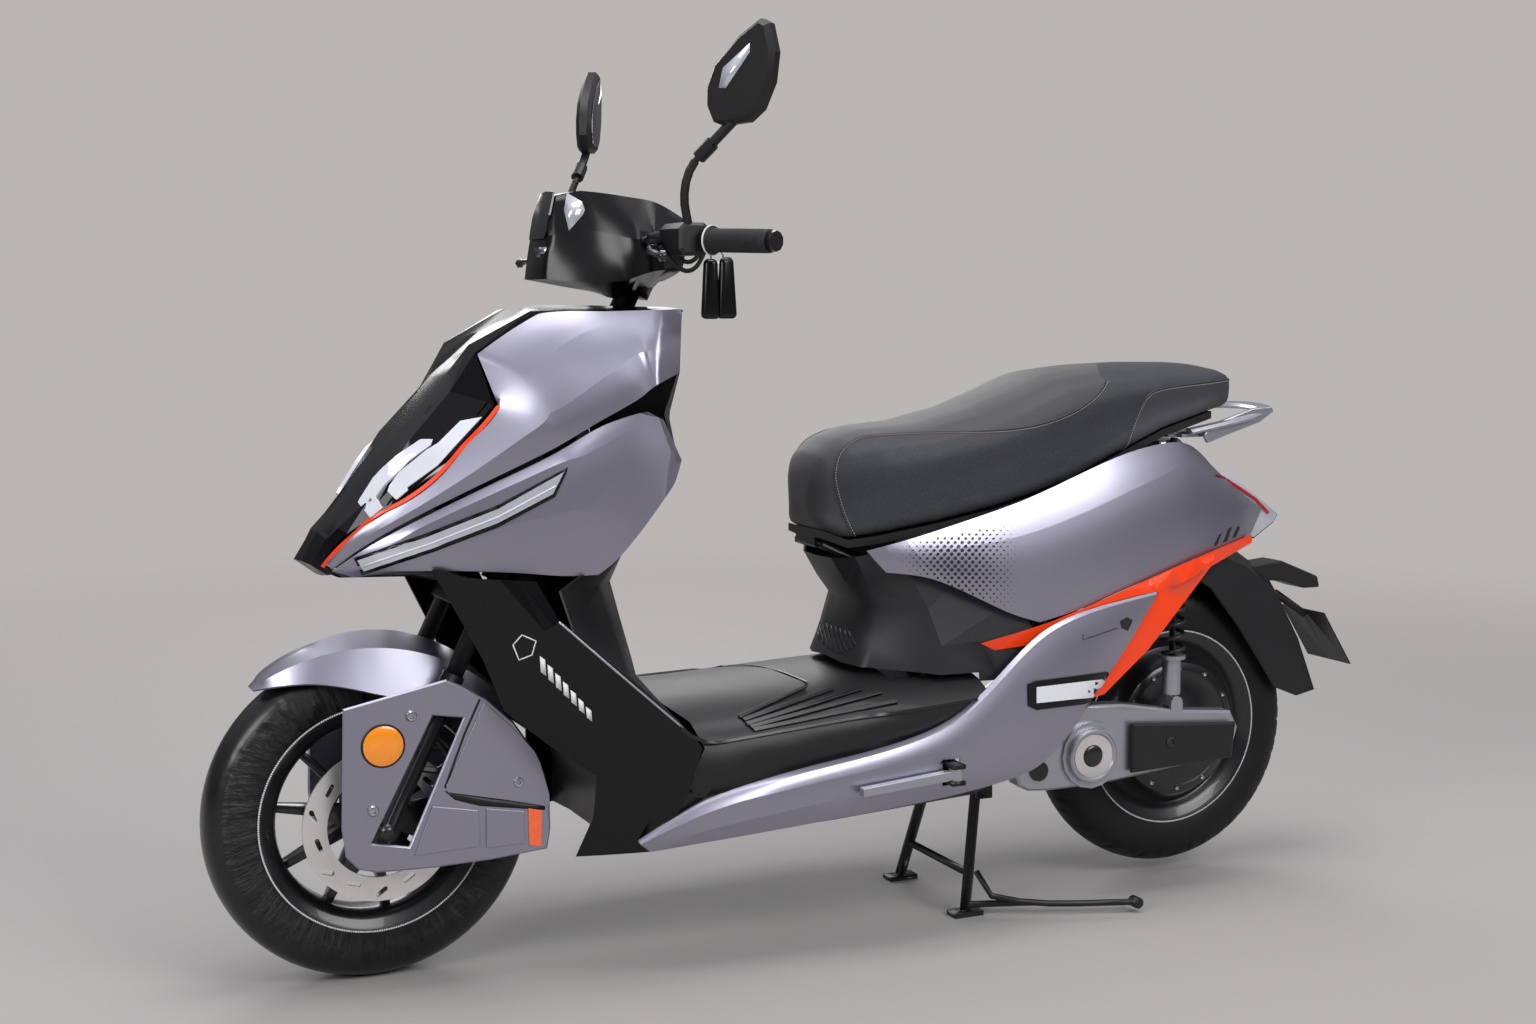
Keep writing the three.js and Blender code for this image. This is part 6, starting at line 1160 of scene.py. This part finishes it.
def floor_paper():
    """Matt paper that fades into the plain tone of the background away from the object."""
    material, where = new_material("matt_studio_paper")
    tree = material.node_tree
    away = add(tree, "ShaderNodeVectorMath", {0: where}, operation="LENGTH").outputs["Value"]
    fading = {0: away, 1: FADE_FROM, 2: FADE_TO}
    fade = add(tree, "ShaderNodeMapRange", fading, interpolation_type="SMOOTHSTEP").outputs[0]
    rays = add(tree, "ShaderNodeLightPath").outputs["Is Camera Ray"]
    share = add(tree, "ShaderNodeMath", {0: fade, 1: rays}, operation="MULTIPLY").outputs[0]
    matt = add(tree, "ShaderNodeBsdfPrincipled", {"Base Color": linear(FLOOR_TONE), "Roughness": 0.8})
    plain = add(tree, "ShaderNodeEmission", {"Color": linear(PLAIN_TONE), "Strength": 1.0})
    mixed = add(tree, "ShaderNodeMixShader", {0: share, 1: matt.outputs[0], 2: plain.outputs[0]})
    add(tree, "ShaderNodeOutputMaterial", {"Surface": mixed.outputs[0]})
    return material


form = bmesh.new()
bmesh.ops.create_grid(form, x_segments=1, y_segments=1, size=FLOOR)
floor = linked("floor", mesh_of("floor", form))
floor.data.materials.append(floor_paper())

# A dome that is dark at the horizon and pale overhead, which the camera sees as one plain tone
world = bpy.data.worlds.new("studio")
bpy.context.scene.world = world
world.use_nodes = True
tree = world.node_tree
tree.nodes.clear()
rays = add(tree, "ShaderNodeLightPath")
way = add(tree, "ShaderNodeTexCoord")
height = add(tree, "ShaderNodeSeparateXYZ", {"Vector": way.outputs["Generated"]})
rise = add(tree, "ShaderNodeMapRange", {0: height.outputs["Z"], 1: 0.0, 2: 0.85}, interpolation_type="SMOOTHSTEP")
dome = add(tree, "ShaderNodeMix", {0: rise.outputs[0], 6: linear("#5a585a"), 7: linear("#e6e6ee")}, data_type="RGBA")
glow = add(tree, "ShaderNodeBackground", {"Color": dome.outputs[2], "Strength": 0.7})
plain = add(tree, "ShaderNodeBackground", {"Color": linear(PLAIN_TONE), "Strength": 1.0})
mixed = add(tree, "ShaderNodeMixShader", {0: rays.outputs["Is Camera Ray"], 1: glow.outputs[0], 2: plain.outputs[0]})
add(tree, "ShaderNodeOutputWorld", {"Surface": mixed.outputs[0]})


def softbox(name, spot, target, size, power):
    """A rectangular lamp that looks at a target; metres and watts."""
    lamp = bpy.data.lights.new(name, "AREA")
    lamp.shape, lamp.size, lamp.size_y, lamp.energy = "RECTANGLE", size[0], size[1], power
    holder = linked(name, lamp)
    holder.location = spot
    holder.rotation_euler = (Vector(target) - Vector(spot)).to_track_quat("-Z", "Y").to_euler()


softbox("key", (-1.5, 3.9, 3.1), (0, 0, 0.6), (3.0, 2.0), 120)
softbox("front", (3.6, 2.0, 2.2), (0.4, 0, 0.6), (1.6, 1.6), 60)
softbox("top", (0, 0.2, 4.0), (0, 0, 0.5), (3.2, 1.6), 80)
softbox("rim", (-0.5, -3.8, 2.4), (0, 0, 0.6), (3.0, 1.4), 60)

bpy.context.scene.view_settings.view_transform = "Standard"
